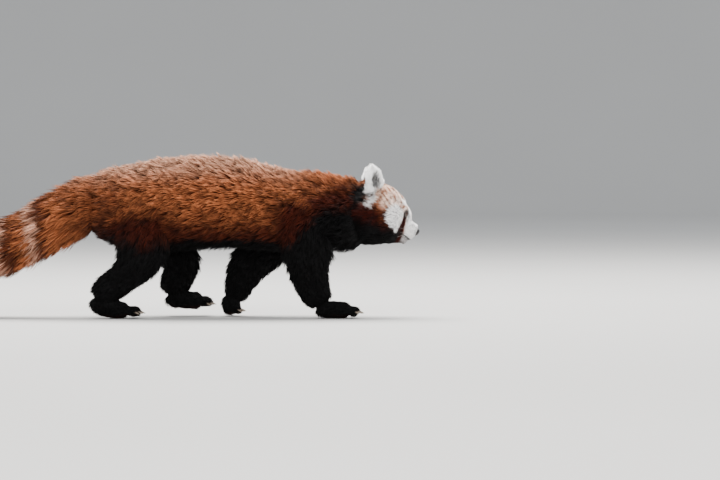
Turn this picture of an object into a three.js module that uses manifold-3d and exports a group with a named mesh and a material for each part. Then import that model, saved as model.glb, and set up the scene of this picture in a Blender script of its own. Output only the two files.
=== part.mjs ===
// A red panda in mid-stride, life size, in millimetres: +X is the way it faces, +Y its left side, +Z up.
// The torso, neck, tail, cheeks, shoulders and thighs carry their long coat as flat, tapered locks on a core.
import * as THREE from "three";
import { mergeVertices } from "three/addons/utils/BufferGeometryUtils.js";
import Module from "manifold-3d";

const wasm = await Module();
wasm.setup();

// Driving dimensions, in a frame whose zero is on the floor below the planted left fore paw.
const GAP = 0.35;
const FLOOR_DEPTH = 60;
const HEAD_CENTRE = [259, 0, 184];
const HEAD_PITCH = THREE.MathUtils.degToRad(24);
const HEAD_YAW = THREE.MathUtils.degToRad(8);
const SIDES = { left: 1, right: -1 };
const TURN = 2 * Math.PI;

// A body tube is a list of stations: [x, y, z, half depth in the side view, half width across].
// Its sizes reach to the tips of the coat, and its stations run the way that the coat lies.
const BODY = [
  [252, 6, 182, 50, 48],
  [222, 4, 180, 62, 55],
  [188, 1, 181, 67, 60],
  [150, 0, 184, 71, 66],
  [110, 0, 185, 72, 71],
  [65, 0, 190, 76, 76],
  [10, 0, 199, 81, 80],
  [-50, 0, 200, 84, 81],
  [-110, 0, 196, 83, 79],
  [-165, 0, 193, 77, 73],
  [-205, 0, 196, 68, 62],
  [-238, 0, 198, 52, 46],
];
const NECK_END = 178;
const TAIL = [
  [-190, 0, 198, 50, 40],
  [-218, 0, 199, 54, 45],
  [-246, 0, 196, 54, 49],
  [-272, 0, 184, 53, 50],
  [-298, 0, 171, 52, 50],
  [-324, 0, 156, 51, 50],
  [-352, 0, 141, 50, 50],
  [-388, 0, 124, 50, 50],
  [-430, 0, 109, 49, 49],
  [-478, 0, 99, 47, 47],
  [-526, 0, 94, 45, 45],
  [-574, 0, 93, 39, 39],
  [-618, 0, 95, 28, 28],
];
const LEGS = {
  hind_right: {
    side: SIDES.right,
    upper: [
      [-140, -38, 192, 46, 30],
      [-146, -45, 152, 50, 35],
      [-150, -48, 120, 47, 34],
      [-158, -48, 88, 37, 28],
    ],
    lower: [
      [-149, -48, 126, 36, 25],
      [-160, -48, 98, 35, 28],
      [-180, -47, 74, 30, 24],
      [-210, -45, 50, 27, 22],
      [-230, -43, 34, 21, 19],
    ],
  },
  hind_left: {
    side: SIDES.left,
    upper: [
      [-132, 38, 192, 46, 30],
      [-118, 45, 152, 48, 35],
      [-100, 48, 120, 42, 34],
      [-88, 48, 92, 34, 28],
    ],
    lower: [
      [-97, 48, 124, 32, 24],
      [-89, 48, 102, 34, 28],
      [-92, 47, 78, 33, 25],
      [-99, 46, 56, 28, 22],
      [-106, 45, 38, 21, 19],
    ],
  },
  fore_right: {
    side: SIDES.right,
    upper: [
      [122, -36, 192, 42, 28],
      [130, -41, 152, 45, 32],
      [136, -40, 116, 45, 31],
      [137, -40, 90, 40, 28],
    ],
    lower: [
      [135, -40, 124, 35, 22],
      [137, -40, 100, 38, 28],
      [141, -39, 70, 34, 25],
      [149, -38, 45, 29, 23],
      [159, -37, 24, 22, 20],
    ],
  },
  fore_left: {
    side: SIDES.left,
    upper: [
      [118, 36, 188, 40, 28],
      [92, 41, 154, 43, 32],
      [58, 41, 118, 43, 31],
      [32, 40, 88, 37, 28],
    ],
    lower: [
      [61, 41, 123, 33, 23],
      [42, 40, 101, 37, 28],
      [24, 40, 74, 33, 25],
      [13, 39, 50, 26, 22],
      [6, 38, 30, 19, 19],
    ],
  },
};
// Each paw: the palm's tube, the place where its toes fan out, their reach, and how far the toe tips drop.
const PAWS = {
  hind_right: {
    palm: [
      [-234, -43, 36, 18, 16],
      [-222, -42, 25, 20, 20],
      [-200, -41, 16, 18, 23],
      [-176, -41, 14, 16, 24],
    ],
    toes: { x: -182, y: -41, z: 11.5, reach: 27, drop: 2 },
  },
  hind_left: {
    palm: [
      [-112, 45, 38, 17, 17],
      [-96, 44, 31, 18, 20],
      [-74, 44, 28, 18, 22],
      [-54, 44, 25, 16, 23],
    ],
    toes: { x: -62, y: 44, z: 25, reach: 26, drop: 4 },
  },
  fore_right: {
    palm: [
      [152, -37, 22, 18, 20],
      [170, -36, 16, 17, 22],
      [192, -36, 14, 16, 24],
      [207, -36, 13, 15, 24],
    ],
    toes: { x: 202, y: -36, z: 11.5, reach: 23, drop: 2 },
  },
  fore_left: {
    palm: [
      [6, 38, 38, 17, 18],
      [2, 38, 27, 18, 20],
      [0, 38, 17, 18, 23],
      [5, 38, 14, 15, 24],
    ],
    toes: { x: -2, y: 38, z: 11.5, reach: 19, drop: 2 },
  },
};
const TOES = 5;
const TOE_RADIUS = 9.6;
const TOE_SPREAD = 4.6;
const TOE_FAN = THREE.MathUtils.degToRad(15);
const CLAW = { length: 11, radius: 2.3 };

// Coats: how far the tips stand off the core, and how the rows of locks are set.
// A coat that closes follows its tube's rounded end.
const COATS = {
  body: { depth: 18, rows: 8, around: 9, from: 0.1, to: 0.84, length: 86, width: 43, thick: 7 },
  tail: { depth: 23, rows: 7, around: 6, from: 0.16, to: 0.87, length: 86, width: 34, thick: 7 },
  limb: { depth: 9, rows: 2, around: 2, from: 0.34, to: 0.62, length: 52, width: 32, thick: 5 },
};
const RUFF = { locks: 5, length: 40, width: 22, thick: 6 };

// Head sizes, in its own frame: x forward along the muzzle, y to the left, z up.
const EYE = { radius: 7, forward: 41.5, aside: 25, up: 15.2, look: [0.84, 0.54, 0.02] };
const NOSE = { forward: 75.5, up: -5, size: [5.6, 8.5, 6.2] };
const NOSTRIL = { ahead: 4.9, aside: 4.4, drop: 0.7, size: [3.4, 1.7, 1.9] };
const MOUTH = { forward: 47, up: -20.5, length: 25, width: 17.5, slit: 0.7, lip: 2.3 };
// The ears are swivelled a little: the left one stands further forward by twice this shift.
const EAR = { forward: -21.5, shift: 2.5, aside: 40, up: 32 };
const EAR_AXIS = [-0.5, 0.36, 0.8];
const EAR_FACES = [0.6, 0.78, 0.3];
const EAR_CUP = { centre: [9, 0, 15], size: [11, 15.5, 21] };
const EAR_SHELL = [
  [0, 0, -6, 12, 20],
  [0, 0, 8, 11, 22],
  [-1, 0, 22, 9, 20],
  [-3, 0, 34, 6, 13],
  [-5, 0, 42, 3.5, 6],
];
const SKULL = { centre: [-1, 0, -4], size: [58, 53, 55] };
const BRIDGE = { centre: [36, 0, 4], size: [25, 24, 27] };
// One cheek and one brow; the other side mirrors them.
const CHEEK = { centre: [8, 31, -17], size: [38, 29, 32] };
const BROW = { centre: [33, 19, 15], size: [16, 15, 16] };
const MUZZLE = [
  [26, 0, -6, 25, 30],
  [42, 0, -7, 21, 26],
  [57, 0, -7.5, 15, 20],
  [68, 0, -7, 14.5, 17],
  [77, 0, -8, 12, 13.5],
];
const JAW = [
  [8, 0, -31, 18, 34],
  [30, 0, -32, 15, 26],
  [48, 0, -28.5, 9, 17],
  [60, 0, -26.5, 6.5, 12],
  [68, 0, -26, 5, 8],
];

const COLOURS = {
  rust: [0.42, 0.13, 0.045, 0.85],
  dark: [0.03, 0.022, 0.02, 0.85],
  pale: [0.82, 0.77, 0.71, 0.85],
  sandy: [0.5, 0.22, 0.1, 0.85],
  nose: [0.02, 0.018, 0.018, 0.4],
  eye: [0.025, 0.014, 0.01, 0.08],
  claw: [0.72, 0.66, 0.58, 0.4],
};

// A closed geometry whose shared vertices are merged, as a solid.
function solidOf(geometry) {
  const bare = new THREE.BufferGeometry();
  bare.setAttribute("position", geometry.getAttribute("position"));
  bare.setIndex(geometry.index);
  const merged = mergeVertices(bare, 1e-3);
  const mesh = new wasm.Mesh({
    numProp: 3,
    vertProperties: merged.attributes.position.array,
    triVerts: new Uint32Array(merged.index.array),
  });
  return new wasm.Manifold(mesh);
}

function join(solids) {
  return wasm.Manifold.union(solids);
}

// A repeatable stream of numbers from 0 to 1.
function seeded(seed) {
  let state = seed;
  return () => {
    state = (Math.imul(state, 1664525) + 1013904223) >>> 0;
    return state / 2 ** 32;
  };
}

// A tube of oval sections along a curve, with round ends.
class Tube {
  constructor(stations, cap = 0.12) {
    this.cap = cap;
    this.curve = new THREE.CatmullRomCurve3(stations.map(([x, y, z]) => new THREE.Vector3(x, y, z)));
    this.sizes = new THREE.SplineCurve(stations.map(([, , , deep, wide]) => new THREE.Vector2(deep, wide)));
    this.length = this.curve.getLength();
  }

  frame(t) {
    const along = this.curve.getTangent(t);
    const up = new THREE.Vector3().crossVectors(along, new THREE.Vector3(0, 1, 0)).normalize();
    return { along, up, aside: new THREE.Vector3().crossVectors(up, along).normalize() };
  }

  // The share of the full section that is left near a rounded end.
  round(t) {
    const near = Math.min(t, 1 - t) / this.cap;
    return near >= 1 ? 1 : Math.sqrt(Math.max(0, 1 - (1 - near) ** 2));
  }

  // The place at a share of the length and an angle round it, raised off the section.
  // Past its end a tube runs straight on.
  surface(t, angle, raise, share = this.round(t)) {
    const within = Math.min(t, 1);
    const { along, up, aside } = this.frame(within);
    const size = this.sizes.getPoint(within);
    return this.curve
      .getPoint(within)
      .addScaledVector(along, (t - within) * this.length)
      .addScaledVector(aside, Math.cos(angle) * Math.max(0, size.y * share + raise))
      .addScaledVector(up, Math.sin(angle) * Math.max(0, size.x * share + raise));
  }

  // A sphere bent along the tube, whose poles become its two ends, so far under the coat's surface.
  solid(sides, rings, depth = 0, grow = 0) {
    const sphere = new THREE.SphereGeometry(1, sides, rings);
    const position = sphere.getAttribute("position");
    for (let i = 0; i < position.count; i++) {
      const share = (1 - position.getY(i)) / 2;
      const t = share * (1 - depth / this.length);
      const pole = Math.hypot(position.getX(i), position.getZ(i)) < 1e-6;
      const angle = Math.atan2(position.getZ(i), position.getX(i));
      const full = this.round(share);
      const place = pole
        ? this.curve.getPoint(t).addScaledVector(this.frame(t).along, share < 0.5 ? -grow : grow)
        : this.surface(t, angle, grow - depth * full, full);
      position.setXYZ(i, place.x, place.y, place.z);
    }
    return solidOf(sphere);
  }

  // The share of the length at which the tube, run backwards, passes a place along x.
  shareAt(x) {
    const steps = 400;
    const shares = Array.from({ length: steps }, (_, i) => i / steps);
    return shares.find((t) => this.curve.getPoint(t).x < x);
  }

  holds(point, margin) {
    const steps = 16;
    for (let i = 0; i <= steps; i++) {
      const t = i / steps;
      const { along, up, aside } = this.frame(t);
      const offset = point.clone().sub(this.curve.getPoint(t));
      const size = this.sizes.getPoint(t);
      const flat = Math.abs(offset.dot(along)) < this.length / steps;
      const out = Math.hypot(offset.dot(aside) / (size.y + margin), offset.dot(up) / (size.x + margin));
      if (flat && out < 1) return true;
    }
    return false;
  }
}

// A lock is a chain of four-cornered sections that ends in a point: left edge, top, right edge, underside.
function lockSolid(sections, tip) {
  const corners = [...sections.flat(), tip];
  const triangles = [0, 2, 1, 0, 3, 2];
  const last = sections.length - 1;
  for (let ring = 0; ring <= last; ring++) {
    for (let side = 0; side < 4; side++) {
      const a = ring * 4 + side;
      const b = ring * 4 + ((side + 1) % 4);
      if (ring < last) triangles.push(a, b, a + 4, b, b + 4, a + 4);
      else triangles.push(a, b, corners.length - 1);
    }
  }
  const geometry = new THREE.BufferGeometry().setFromPoints(corners);
  geometry.setIndex(triangles);
  return solidOf(geometry);
}

// Where a lock's sections stand: their share of its length, of its width and of its rise to the tip.
const LOCK_SECTIONS = [
  { along: 0, wide: 0.6, rise: -0.3, thick: 1.2 },
  { along: 0.4, wide: 1, rise: 0.46, thick: 1 },
  { along: 0.76, wide: 0.68, rise: 0.85, thick: 0.75 },
];

// Rows of locks over a core, on a tube whose own size is where their tips end.
class Coat {
  constructor(tube, style, seed, keeps = () => true, arc = { from: 0, span: TURN }) {
    Object.assign(this, { tube, style, specs: [] });
    const random = seeded(seed);
    const vary = (amount) => (random() - 0.5) * 2 * amount;
    const closed = arc.span === TURN;
    const room = (t) => (style.closes ? (0.985 - t) * tube.length : Infinity);
    for (let row = 0; row < style.rows; row++) {
      const t = THREE.MathUtils.lerp(style.from, style.to, row / (style.rows - 1));
      for (let i = 0; i < style.around; i++) {
        const place = (i + (row % 2) / 2 + vary(0.07)) / (closed ? style.around : style.around - 0.5);
        const root = t + vary(0.012);
        const spec = {
          t: root,
          angle: arc.from + arc.span * place,
          sweep: vary(0.07),
          length: Math.min(style.length * (1 + vary(0.12)), room(root)),
          width: style.width * (1 + vary(0.1)),
          reach: -Math.abs(vary(2.5)),
        };
        if (keeps(this.point(spec, 0.5, 0.5)) && keeps(this.point(spec, 0.8, 0.9))) this.specs.push(spec);
      }
    }
  }

  // Only a coat that closes over the tube's end follows its rounding.
  point(spec, along, rise, turn = 0, raise = 0) {
    const t = spec.t + (along * spec.length) / this.tube.length;
    const share = this.style.closes ? this.tube.round(t) : 1;
    const height = (rise - 1) * this.style.depth * share + spec.reach + raise;
    return this.tube.surface(t, spec.angle + spec.sweep * along + turn, height, share);
  }

  lock(spec, grow) {
    const { depth, thick } = this.style;
    const sections = LOCK_SECTIONS.map((section) => {
      const t = spec.t + (section.along * spec.length) / this.tube.length;
      const size = this.tube.sizes.getPoint(Math.min(1, t));
      const turn = (spec.width * section.wide) / 2 / Math.max(12, (size.x + size.y) / 2 - depth / 2);
      const grown = turn * (1 + (2.5 * grow) / spec.width);
      const half = (thick * section.thick) / 2 + grow * 1.3;
      const along = section.along - (section.along === 0 ? grow / spec.length : 0);
      return [
        this.point(spec, along, section.rise, -grown),
        this.point(spec, along, section.rise, 0, half),
        this.point(spec, along, section.rise, grown),
        this.point(spec, along, section.rise, 0, -half),
      ];
    });
    return lockSolid(sections, this.point(spec, 1 + (4 * grow) / spec.length, 1, 0, grow));
  }

  core(sides, rings, grow = 0) {
    return this.tube.solid(sides, rings, this.style.depth, grow);
  }

  // The locks whose roots lie within a stretch of the tube.
  locks(grow = 0, from = 0, to = 1) {
    return this.specs.filter(({ t }) => t >= from && t < to).map((spec) => this.lock(spec, grow));
  }

  solid(sides, rings, grow = 0) {
    return join([this.core(sides, rings, grow), ...this.locks(grow)]);
  }
}

function ellipsoid([x, y, z], [rx, ry, rz], sides, rings, grow = 0) {
  const ball = new THREE.SphereGeometry(1, sides, rings);
  return solidOf(ball.scale(rx + grow, ry + grow, rz + grow).translate(x, y, z));
}

const headFrame = new THREE.Matrix4()
  .makeTranslation(...HEAD_CENTRE)
  .multiply(new THREE.Matrix4().makeRotationZ(HEAD_YAW))
  .multiply(new THREE.Matrix4().makeRotationY(HEAD_PITCH));

function onHead(solid) {
  return solid.transform(headFrame.elements);
}

// The fan of locks behind one cheek, from under the jaw to below the ear.
function ruff(side, grow) {
  const random = seeded(side + 40);
  const { locks, length, width, thick } = RUFF;
  const half = thick / 2 + grow * 2;
  return Array.from({ length: locks }, (_, i) => {
    const angle = THREE.MathUtils.lerp(-1.5, 0.75, i / (locks - 1)) + (random() - 0.5) * 0.12;
    const back = new THREE.Vector3(-Math.cos(angle), side * 0.3, Math.sin(angle)).normalize();
    const out = new THREE.Vector3(0.12, side, -0.1).normalize();
    const wide = new THREE.Vector3().crossVectors(back, out).normalize().multiplyScalar(-1);
    const [ahead, rise] = [Math.cos(angle), Math.sin(angle)];
    const root = new THREE.Vector3(2 - 16 * ahead, side * (44 + 3 * ahead), -18 + 15 * rise);
    const reach = length * (0.92 + 0.16 * random());
    const at = (along, lift) => root.clone().addScaledVector(back, along * reach).addScaledVector(out, lift);
    const sections = LOCK_SECTIONS.map((section) => {
      const lift = 2 + 7 * section.along - 9 * section.along ** 2;
      const spread = (width * section.wide) / 2 + grow * 2;
      return [
        at(section.along, lift).addScaledVector(wide, spread),
        at(section.along, lift + half * section.thick),
        at(section.along, lift).addScaledVector(wide, -spread),
        at(section.along, lift - half * section.thick),
      ];
    });
    return lockSolid(sections, at(1 + (7 * grow) / reach, -1));
  });
}

function mirrored([x, y, z], side) {
  return [x, y * side, z];
}

// The skull, brows, muzzle, jaw and cheeks with their short fur.
function headMass(grow) {
  const pieces = [
    ellipsoid(SKULL.centre, SKULL.size, 20, 14, grow),
    ellipsoid(BRIDGE.centre, BRIDGE.size, 14, 10, grow),
    new Tube(MUZZLE).solid(14, 9, 0, grow),
    new Tube(JAW, 0.1).solid(12, 7, 0, grow),
  ];
  for (const side of Object.values(SIDES)) {
    pieces.push(ellipsoid(mirrored(CHEEK.centre, side), CHEEK.size, 12, 8, grow));
    pieces.push(ellipsoid(mirrored(BROW.centre, side), BROW.size, 10, 8, grow));
  }
  return join(pieces);
}

function eyeball(side, grow = 0) {
  const radius = EYE.radius + grow;
  return ellipsoid([EYE.forward, side * EYE.aside, EYE.up], [radius, radius, radius], 10, 7);
}

// A lid is a ring of skin round the eye, open in front along the way that the eye looks.
function lidded(head, side) {
  const look = new THREE.Vector3(...mirrored(EYE.look, side)).normalize();
  const centre = new THREE.Vector3(EYE.forward, side * EYE.aside, EYE.up);
  const turn = new THREE.Quaternion().setFromUnitVectors(new THREE.Vector3(1, 0, 0), look);
  const still = new THREE.Vector3(1, 1, 1);
  const place = (ahead) => {
    return new THREE.Matrix4().compose(centre.clone().addScaledVector(look, ahead), turn, still);
  };
  const lid = ellipsoid([0, 0, 0], [EYE.radius + 1.6, EYE.radius + 2.6, EYE.radius + 1.9], 12, 7);
  const opening = ellipsoid([0, 0, 0], [EYE.radius * 1.2, EYE.radius * 0.86, EYE.radius * 0.66], 12, 6);
  return head.add(lid.transform(place(0.4).elements)).subtract(opening.transform(place(EYE.radius).elements));
}

// The line of the mouth: a raised lip all round, parted by a thin slit.
function withMouth(head) {
  const { forward, up, length, width, slit, lip } = MOUTH;
  const lips = ellipsoid([forward, 0, up], [length, width, lip], 18, 4);
  const line = ellipsoid([forward + 4, 0, up], [length + 2, width + 6, slit], 18, 4);
  return head.add(lips).subtract(line);
}

function nosePad(grow = 0) {
  return ellipsoid([NOSE.forward, 0, NOSE.up], NOSE.size, 12, 7, grow);
}

function noseWithNostrils() {
  const { ahead, aside, drop, size } = NOSTRIL;
  const nostril = (side) => ellipsoid([NOSE.forward + ahead, side * aside, NOSE.up - drop], size, 8, 6);
  return nosePad().subtract(join(Object.values(SIDES).map(nostril)));
}

// The ear stands on its own axis, with x the way that its cup faces.
function earPlace(side) {
  const up = new THREE.Vector3(...mirrored(EAR_AXIS, side)).normalize();
  const faces = new THREE.Vector3(...mirrored(EAR_FACES, side));
  const wide = new THREE.Vector3().crossVectors(up, faces).normalize();
  const face = new THREE.Vector3().crossVectors(wide, up).normalize();
  const forward = EAR.forward + EAR.shift * side;
  return new THREE.Matrix4().makeBasis(face, wide, up).setPosition(forward, side * EAR.aside, EAR.up);
}

function ear(side, grow = 0) {
  return new Tube(EAR_SHELL, 0.14).solid(14, 8, 0, grow).transform(earPlace(side).elements);
}

function cuppedEar(side) {
  const cup = ellipsoid(EAR_CUP.centre, EAR_CUP.size, 12, 8);
  return ear(side).subtract(cup.transform(earPlace(side).elements));
}

// A pointed, curved claw that starts inside the toe and stays clear of the floor.
function claw(root, heading, grow = 0) {
  const steps = [[-4, 0, 1], [1, 0.6, 1], [5.5, -0.6, 0.75], [CLAW.length, -3.6, 0.25]];
  const stations = steps.map(([ahead, rise, share]) => [
    root.x + ahead * Math.cos(heading),
    root.y + ahead * Math.sin(heading),
    root.z + rise,
    CLAW.radius * share,
    CLAW.radius * 0.7 * share,
  ]);
  return new Tube(stations, 0.1).solid(5, 4, 0, grow);
}

function toe({ x, y, z, reach, drop }, number) {
  const aside = number - (TOES - 1) / 2;
  const heading = aside * TOE_FAN;
  const length = reach * (1 - 0.07 * Math.abs(aside) ** 1.5);
  const at = (share, rise, size) => [
    x + share * length * Math.cos(heading),
    y + aside * TOE_SPREAD + share * length * Math.sin(heading),
    z + rise,
    size,
    size * 0.86,
  ];
  const tip = at(1, -drop, TOE_RADIUS * 0.8);
  const stations = [at(-0.15, 1, TOE_RADIUS), at(0.35, 1.5, TOE_RADIUS), at(0.75, 0, TOE_RADIUS), tip];
  const root = new THREE.Vector3(tip[0], tip[1], tip[2] + 1.5);
  return { heading, root, solid: new Tube(stations, 0.2).solid(6, 4) };
}

function aboveFloor(solid) {
  const slab = new THREE.BoxGeometry(2000, 1000, FLOOR_DEPTH).translate(0, 0, -FLOOR_DEPTH / 2);
  return solid.subtract(solidOf(slab));
}

const materials = Object.fromEntries(
  Object.entries(COLOURS).map(([name, [r, g, b, roughness]]) => [
    name,
    new THREE.MeshStandardMaterial({ name, color: new THREE.Color(r, g, b), roughness, metalness: 0 }),
  ]),
);

const animal = new THREE.Group();

function geometryOf(solid) {
  const { vertProperties, triVerts, numProp } = solid.getMesh();
  const places = new Float32Array((vertProperties.length / numProp) * 3);
  for (let i = 0; i < places.length / 3; i++) {
    places.set(vertProperties.subarray(i * numProp, i * numProp + 3), i * 3);
  }
  const geometry = new THREE.BufferGeometry();
  geometry.setAttribute("position", new THREE.BufferAttribute(places, 3));
  geometry.setIndex(new THREE.BufferAttribute(triVerts, 1));
  return geometry;
}

// The largest closed surface of a solid: a sealed hollow is filled and a loose scrap dropped.
function largestSurface(solid) {
  return solidOf(geometryOf(solid)).decompose().sort((a, b) => b.volume() - a.volume())[0];
}

function addNode(name, solid, finish) {
  const geometry = geometryOf(largestSurface(largestSurface(solid)));
  geometry.computeVertexNormals();
  const mesh = new THREE.Mesh(geometry, materials[finish]);
  mesh.name = name;
  animal.add(mesh);
}

// Each node gives way, by the gap, to those that are made before it.
const limbs = Object.entries(LEGS).map(([limb, { side, upper, lower }], i) => {
  const outward = side === SIDES.left ? 0 : Math.PI;
  const arc = { from: outward - 1.5, span: 2.8 };
  const thigh = new Tube(upper, 0.14);
  const coat = new Coat(thigh, COATS.limb, 60 + i, () => true, arc);
  return { limb, thigh, coat, shank: new Tube(lower, 0.14) };
});
const clearOfLimbs = (point) => limbs.every(({ thigh }) => !thigh.holds(point, 3));

// The neck and torso share one tube and one coat, parted at the shoulders by a plane across them.
const body = new Coat(new Tube(BODY, 0.06), COATS.body, 11, clearOfLimbs);
const parting = body.tube.shareAt(NECK_END);
function neckWhole(grow) {
  const core = body.core(18, 16, grow).trimByPlane([1, 0, 0], NECK_END - grow);
  return join([core, ...body.locks(grow, 0, parting)]);
}

function torsoWhole(grow) {
  const core = body.core(18, 16, grow).trimByPlane([-1, 0, 0], -NECK_END - grow);
  return join([core, ...body.locks(grow, parting)]);
}

function headWhole(grow) {
  return join([headMass(grow), ...Object.values(SIDES).flatMap((side) => ruff(side, grow))]);
}

const tail = new Coat(new Tube(TAIL, 0.09), { ...COATS.tail, closes: true }, 13);
const headClear = largestSurface(onHead(headWhole(GAP)));
const neckClear = largestSurface(neckWhole(GAP));
const torsoClear = largestSurface(torsoWhole(GAP));
const earsClear = onHead(join(Object.values(SIDES).map((side) => ear(side, GAP))));

let head = withMouth(headWhole(0));
for (const [name, side] of Object.entries(SIDES)) {
  head = lidded(head, side).subtract(eyeball(side, GAP)).subtract(ear(side, GAP));
  addNode("eye_" + name, onHead(eyeball(side)), "eye");
  addNode("ear_" + name, onHead(cuppedEar(side)), "pale");
}
addNode("head", onHead(head.subtract(nosePad(GAP))), "rust");
addNode("nose", onHead(noseWithNostrils()), "nose");
addNode("neck", neckWhole(0).subtract(headClear).subtract(earsClear), "rust");
addNode("torso", torsoWhole(0).subtract(neckClear).subtract(headClear), "rust");
addNode("tail", tail.solid(14, 18).subtract(torsoClear), "sandy");

for (const { limb, coat, shank } of limbs) {
  const leg = (grow) => join([coat.solid(12, 8, grow), shank.solid(12, 7, 0, grow)]);
  addNode("leg_" + limb, leg(0).subtract(torsoClear).subtract(neckClear), "dark");

  const { palm, toes } = PAWS[limb];
  const digits = Array.from({ length: TOES }, (_, number) => toe(toes, number));
  const paw = aboveFloor(join([new Tube(palm, 0.16).solid(10, 7), ...digits.map(({ solid }) => solid)]));
  const clawRoom = join(digits.map(({ root, heading }) => claw(root, heading, GAP)));
  addNode("paw_" + limb, paw.subtract(clawRoom).subtract(leg(GAP)), "dark");
  digits.forEach(({ root, heading }, i) => addNode(`claw_${limb}_${i + 1}`, claw(root, heading), "claw"));
}

// The origin is under the middle of the whole animal, on the floor.
const reach = new THREE.Box3().setFromObject(animal);
const middle = reach.getCenter(new THREE.Vector3());
animal.position.set(-middle.x, -middle.y, -reach.min.z);

export default animal;
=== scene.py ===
"""A red panda in mid-stride: one skin under a coat of solid tufts, with eyes, nose, claws and whiskers."""
import logging
import math
from dataclasses import dataclass, field
from enum import Enum
from functools import partial
from typing import Callable

import bpy
import numpy as np
from mathutils import Matrix, Vector
from mathutils.kdtree import KDTree


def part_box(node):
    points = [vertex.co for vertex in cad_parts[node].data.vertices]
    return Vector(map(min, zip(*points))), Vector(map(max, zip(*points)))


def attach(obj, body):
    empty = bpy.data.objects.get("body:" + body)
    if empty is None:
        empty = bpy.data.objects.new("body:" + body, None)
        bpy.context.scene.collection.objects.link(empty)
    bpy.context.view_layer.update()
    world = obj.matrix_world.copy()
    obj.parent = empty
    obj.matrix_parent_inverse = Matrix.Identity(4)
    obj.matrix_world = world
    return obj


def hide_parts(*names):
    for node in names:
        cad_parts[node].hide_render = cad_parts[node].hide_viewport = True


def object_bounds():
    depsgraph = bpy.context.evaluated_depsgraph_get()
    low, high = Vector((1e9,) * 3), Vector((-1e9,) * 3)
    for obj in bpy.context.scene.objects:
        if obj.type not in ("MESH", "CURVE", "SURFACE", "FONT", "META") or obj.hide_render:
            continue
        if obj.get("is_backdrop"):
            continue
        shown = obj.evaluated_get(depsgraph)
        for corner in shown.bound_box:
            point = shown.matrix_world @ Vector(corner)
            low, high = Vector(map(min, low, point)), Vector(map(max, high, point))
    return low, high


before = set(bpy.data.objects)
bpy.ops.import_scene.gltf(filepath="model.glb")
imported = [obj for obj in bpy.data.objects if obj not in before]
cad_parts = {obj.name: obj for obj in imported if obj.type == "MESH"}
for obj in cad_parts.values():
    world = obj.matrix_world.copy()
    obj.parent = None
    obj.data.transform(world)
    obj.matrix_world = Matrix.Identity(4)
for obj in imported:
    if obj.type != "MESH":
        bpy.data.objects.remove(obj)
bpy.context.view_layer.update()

LOG = logging.getLogger("red_panda")
MM = 0.001
UP = np.array([0.0, 0.0, 1.0])
ACROSS = np.array([0.0, 1.0, 0.0])
SIDES = {"left": 1, "right": -1}
LIMBS = ("hind_right", "hind_left", "fore_right", "fore_left")


class Part(Enum):
    """The stretches of the animal whose coat has its own length and lie."""

    BODY = "body"
    TAIL = "tail"
    LEG = "leg"
    PAW = "paw"
    HEAD = "head"
    EAR = "ear"


def unit(vectors: np.ndarray) -> np.ndarray:
    """Scale each vector to length one.

    Args:
        vectors: Vectors along the last axis.

    Returns:
        The unit vectors.
    """
    return vectors / np.maximum(np.linalg.norm(vectors, axis=-1, keepdims=True), 1e-9)


def ease(value: np.ndarray, low: float, high: float) -> np.ndarray:
    """Rise smoothly from 0 at low to 1 at high, or fall where high is the smaller."""
    share = np.clip((value - low) / (high - low), 0.0, 1.0)
    return share * share * (3.0 - 2.0 * share)


def waves(points: np.ndarray, size: float, seed: int) -> np.ndarray:
    """A smooth, repeatable field of bumps from about -1 to 1.

    Args:
        points: Places, in millimetres.
        size: The bumps' size, in millimetres.
        seed: Picks the field.

    Returns:
        One value for each place.
    """
    random = np.random.default_rng(seed)
    total = np.zeros(len(points))
    for _ in range(7):
        way = unit(random.normal(size=3)) * (2 * math.pi / (size * random.uniform(0.8, 2.2)))
        total += np.sin(points @ way + random.uniform(0, 6.28))
    return total / 2.6


@dataclass(frozen=True)
class HeadFrame:
    """The head's own axes: x forward along the muzzle, y to the left, z up, in millimetres."""

    centre: tuple = (259.0, 0.0, 184.0)
    pitch: float = 24.0
    yaw: float = 8.0

    def turn(self) -> np.ndarray:
        """The rotation from the head's axes to the animal's."""
        pitch, yaw = math.radians(self.pitch), math.radians(self.yaw)
        return np.array(Matrix.Rotation(yaw, 3, "Z") @ Matrix.Rotation(pitch, 3, "Y"))

    def out(self, points: np.ndarray) -> np.ndarray:
        """Places on the head in the animal's axes."""
        return np.asarray(points, float) @ self.turn().T + np.array(self.centre)

    def into(self, points: np.ndarray) -> np.ndarray:
        """Places of the animal in the head's axes."""
        return (np.asarray(points, float) - np.array(self.centre)) @ self.turn()


HEAD = HeadFrame()


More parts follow.
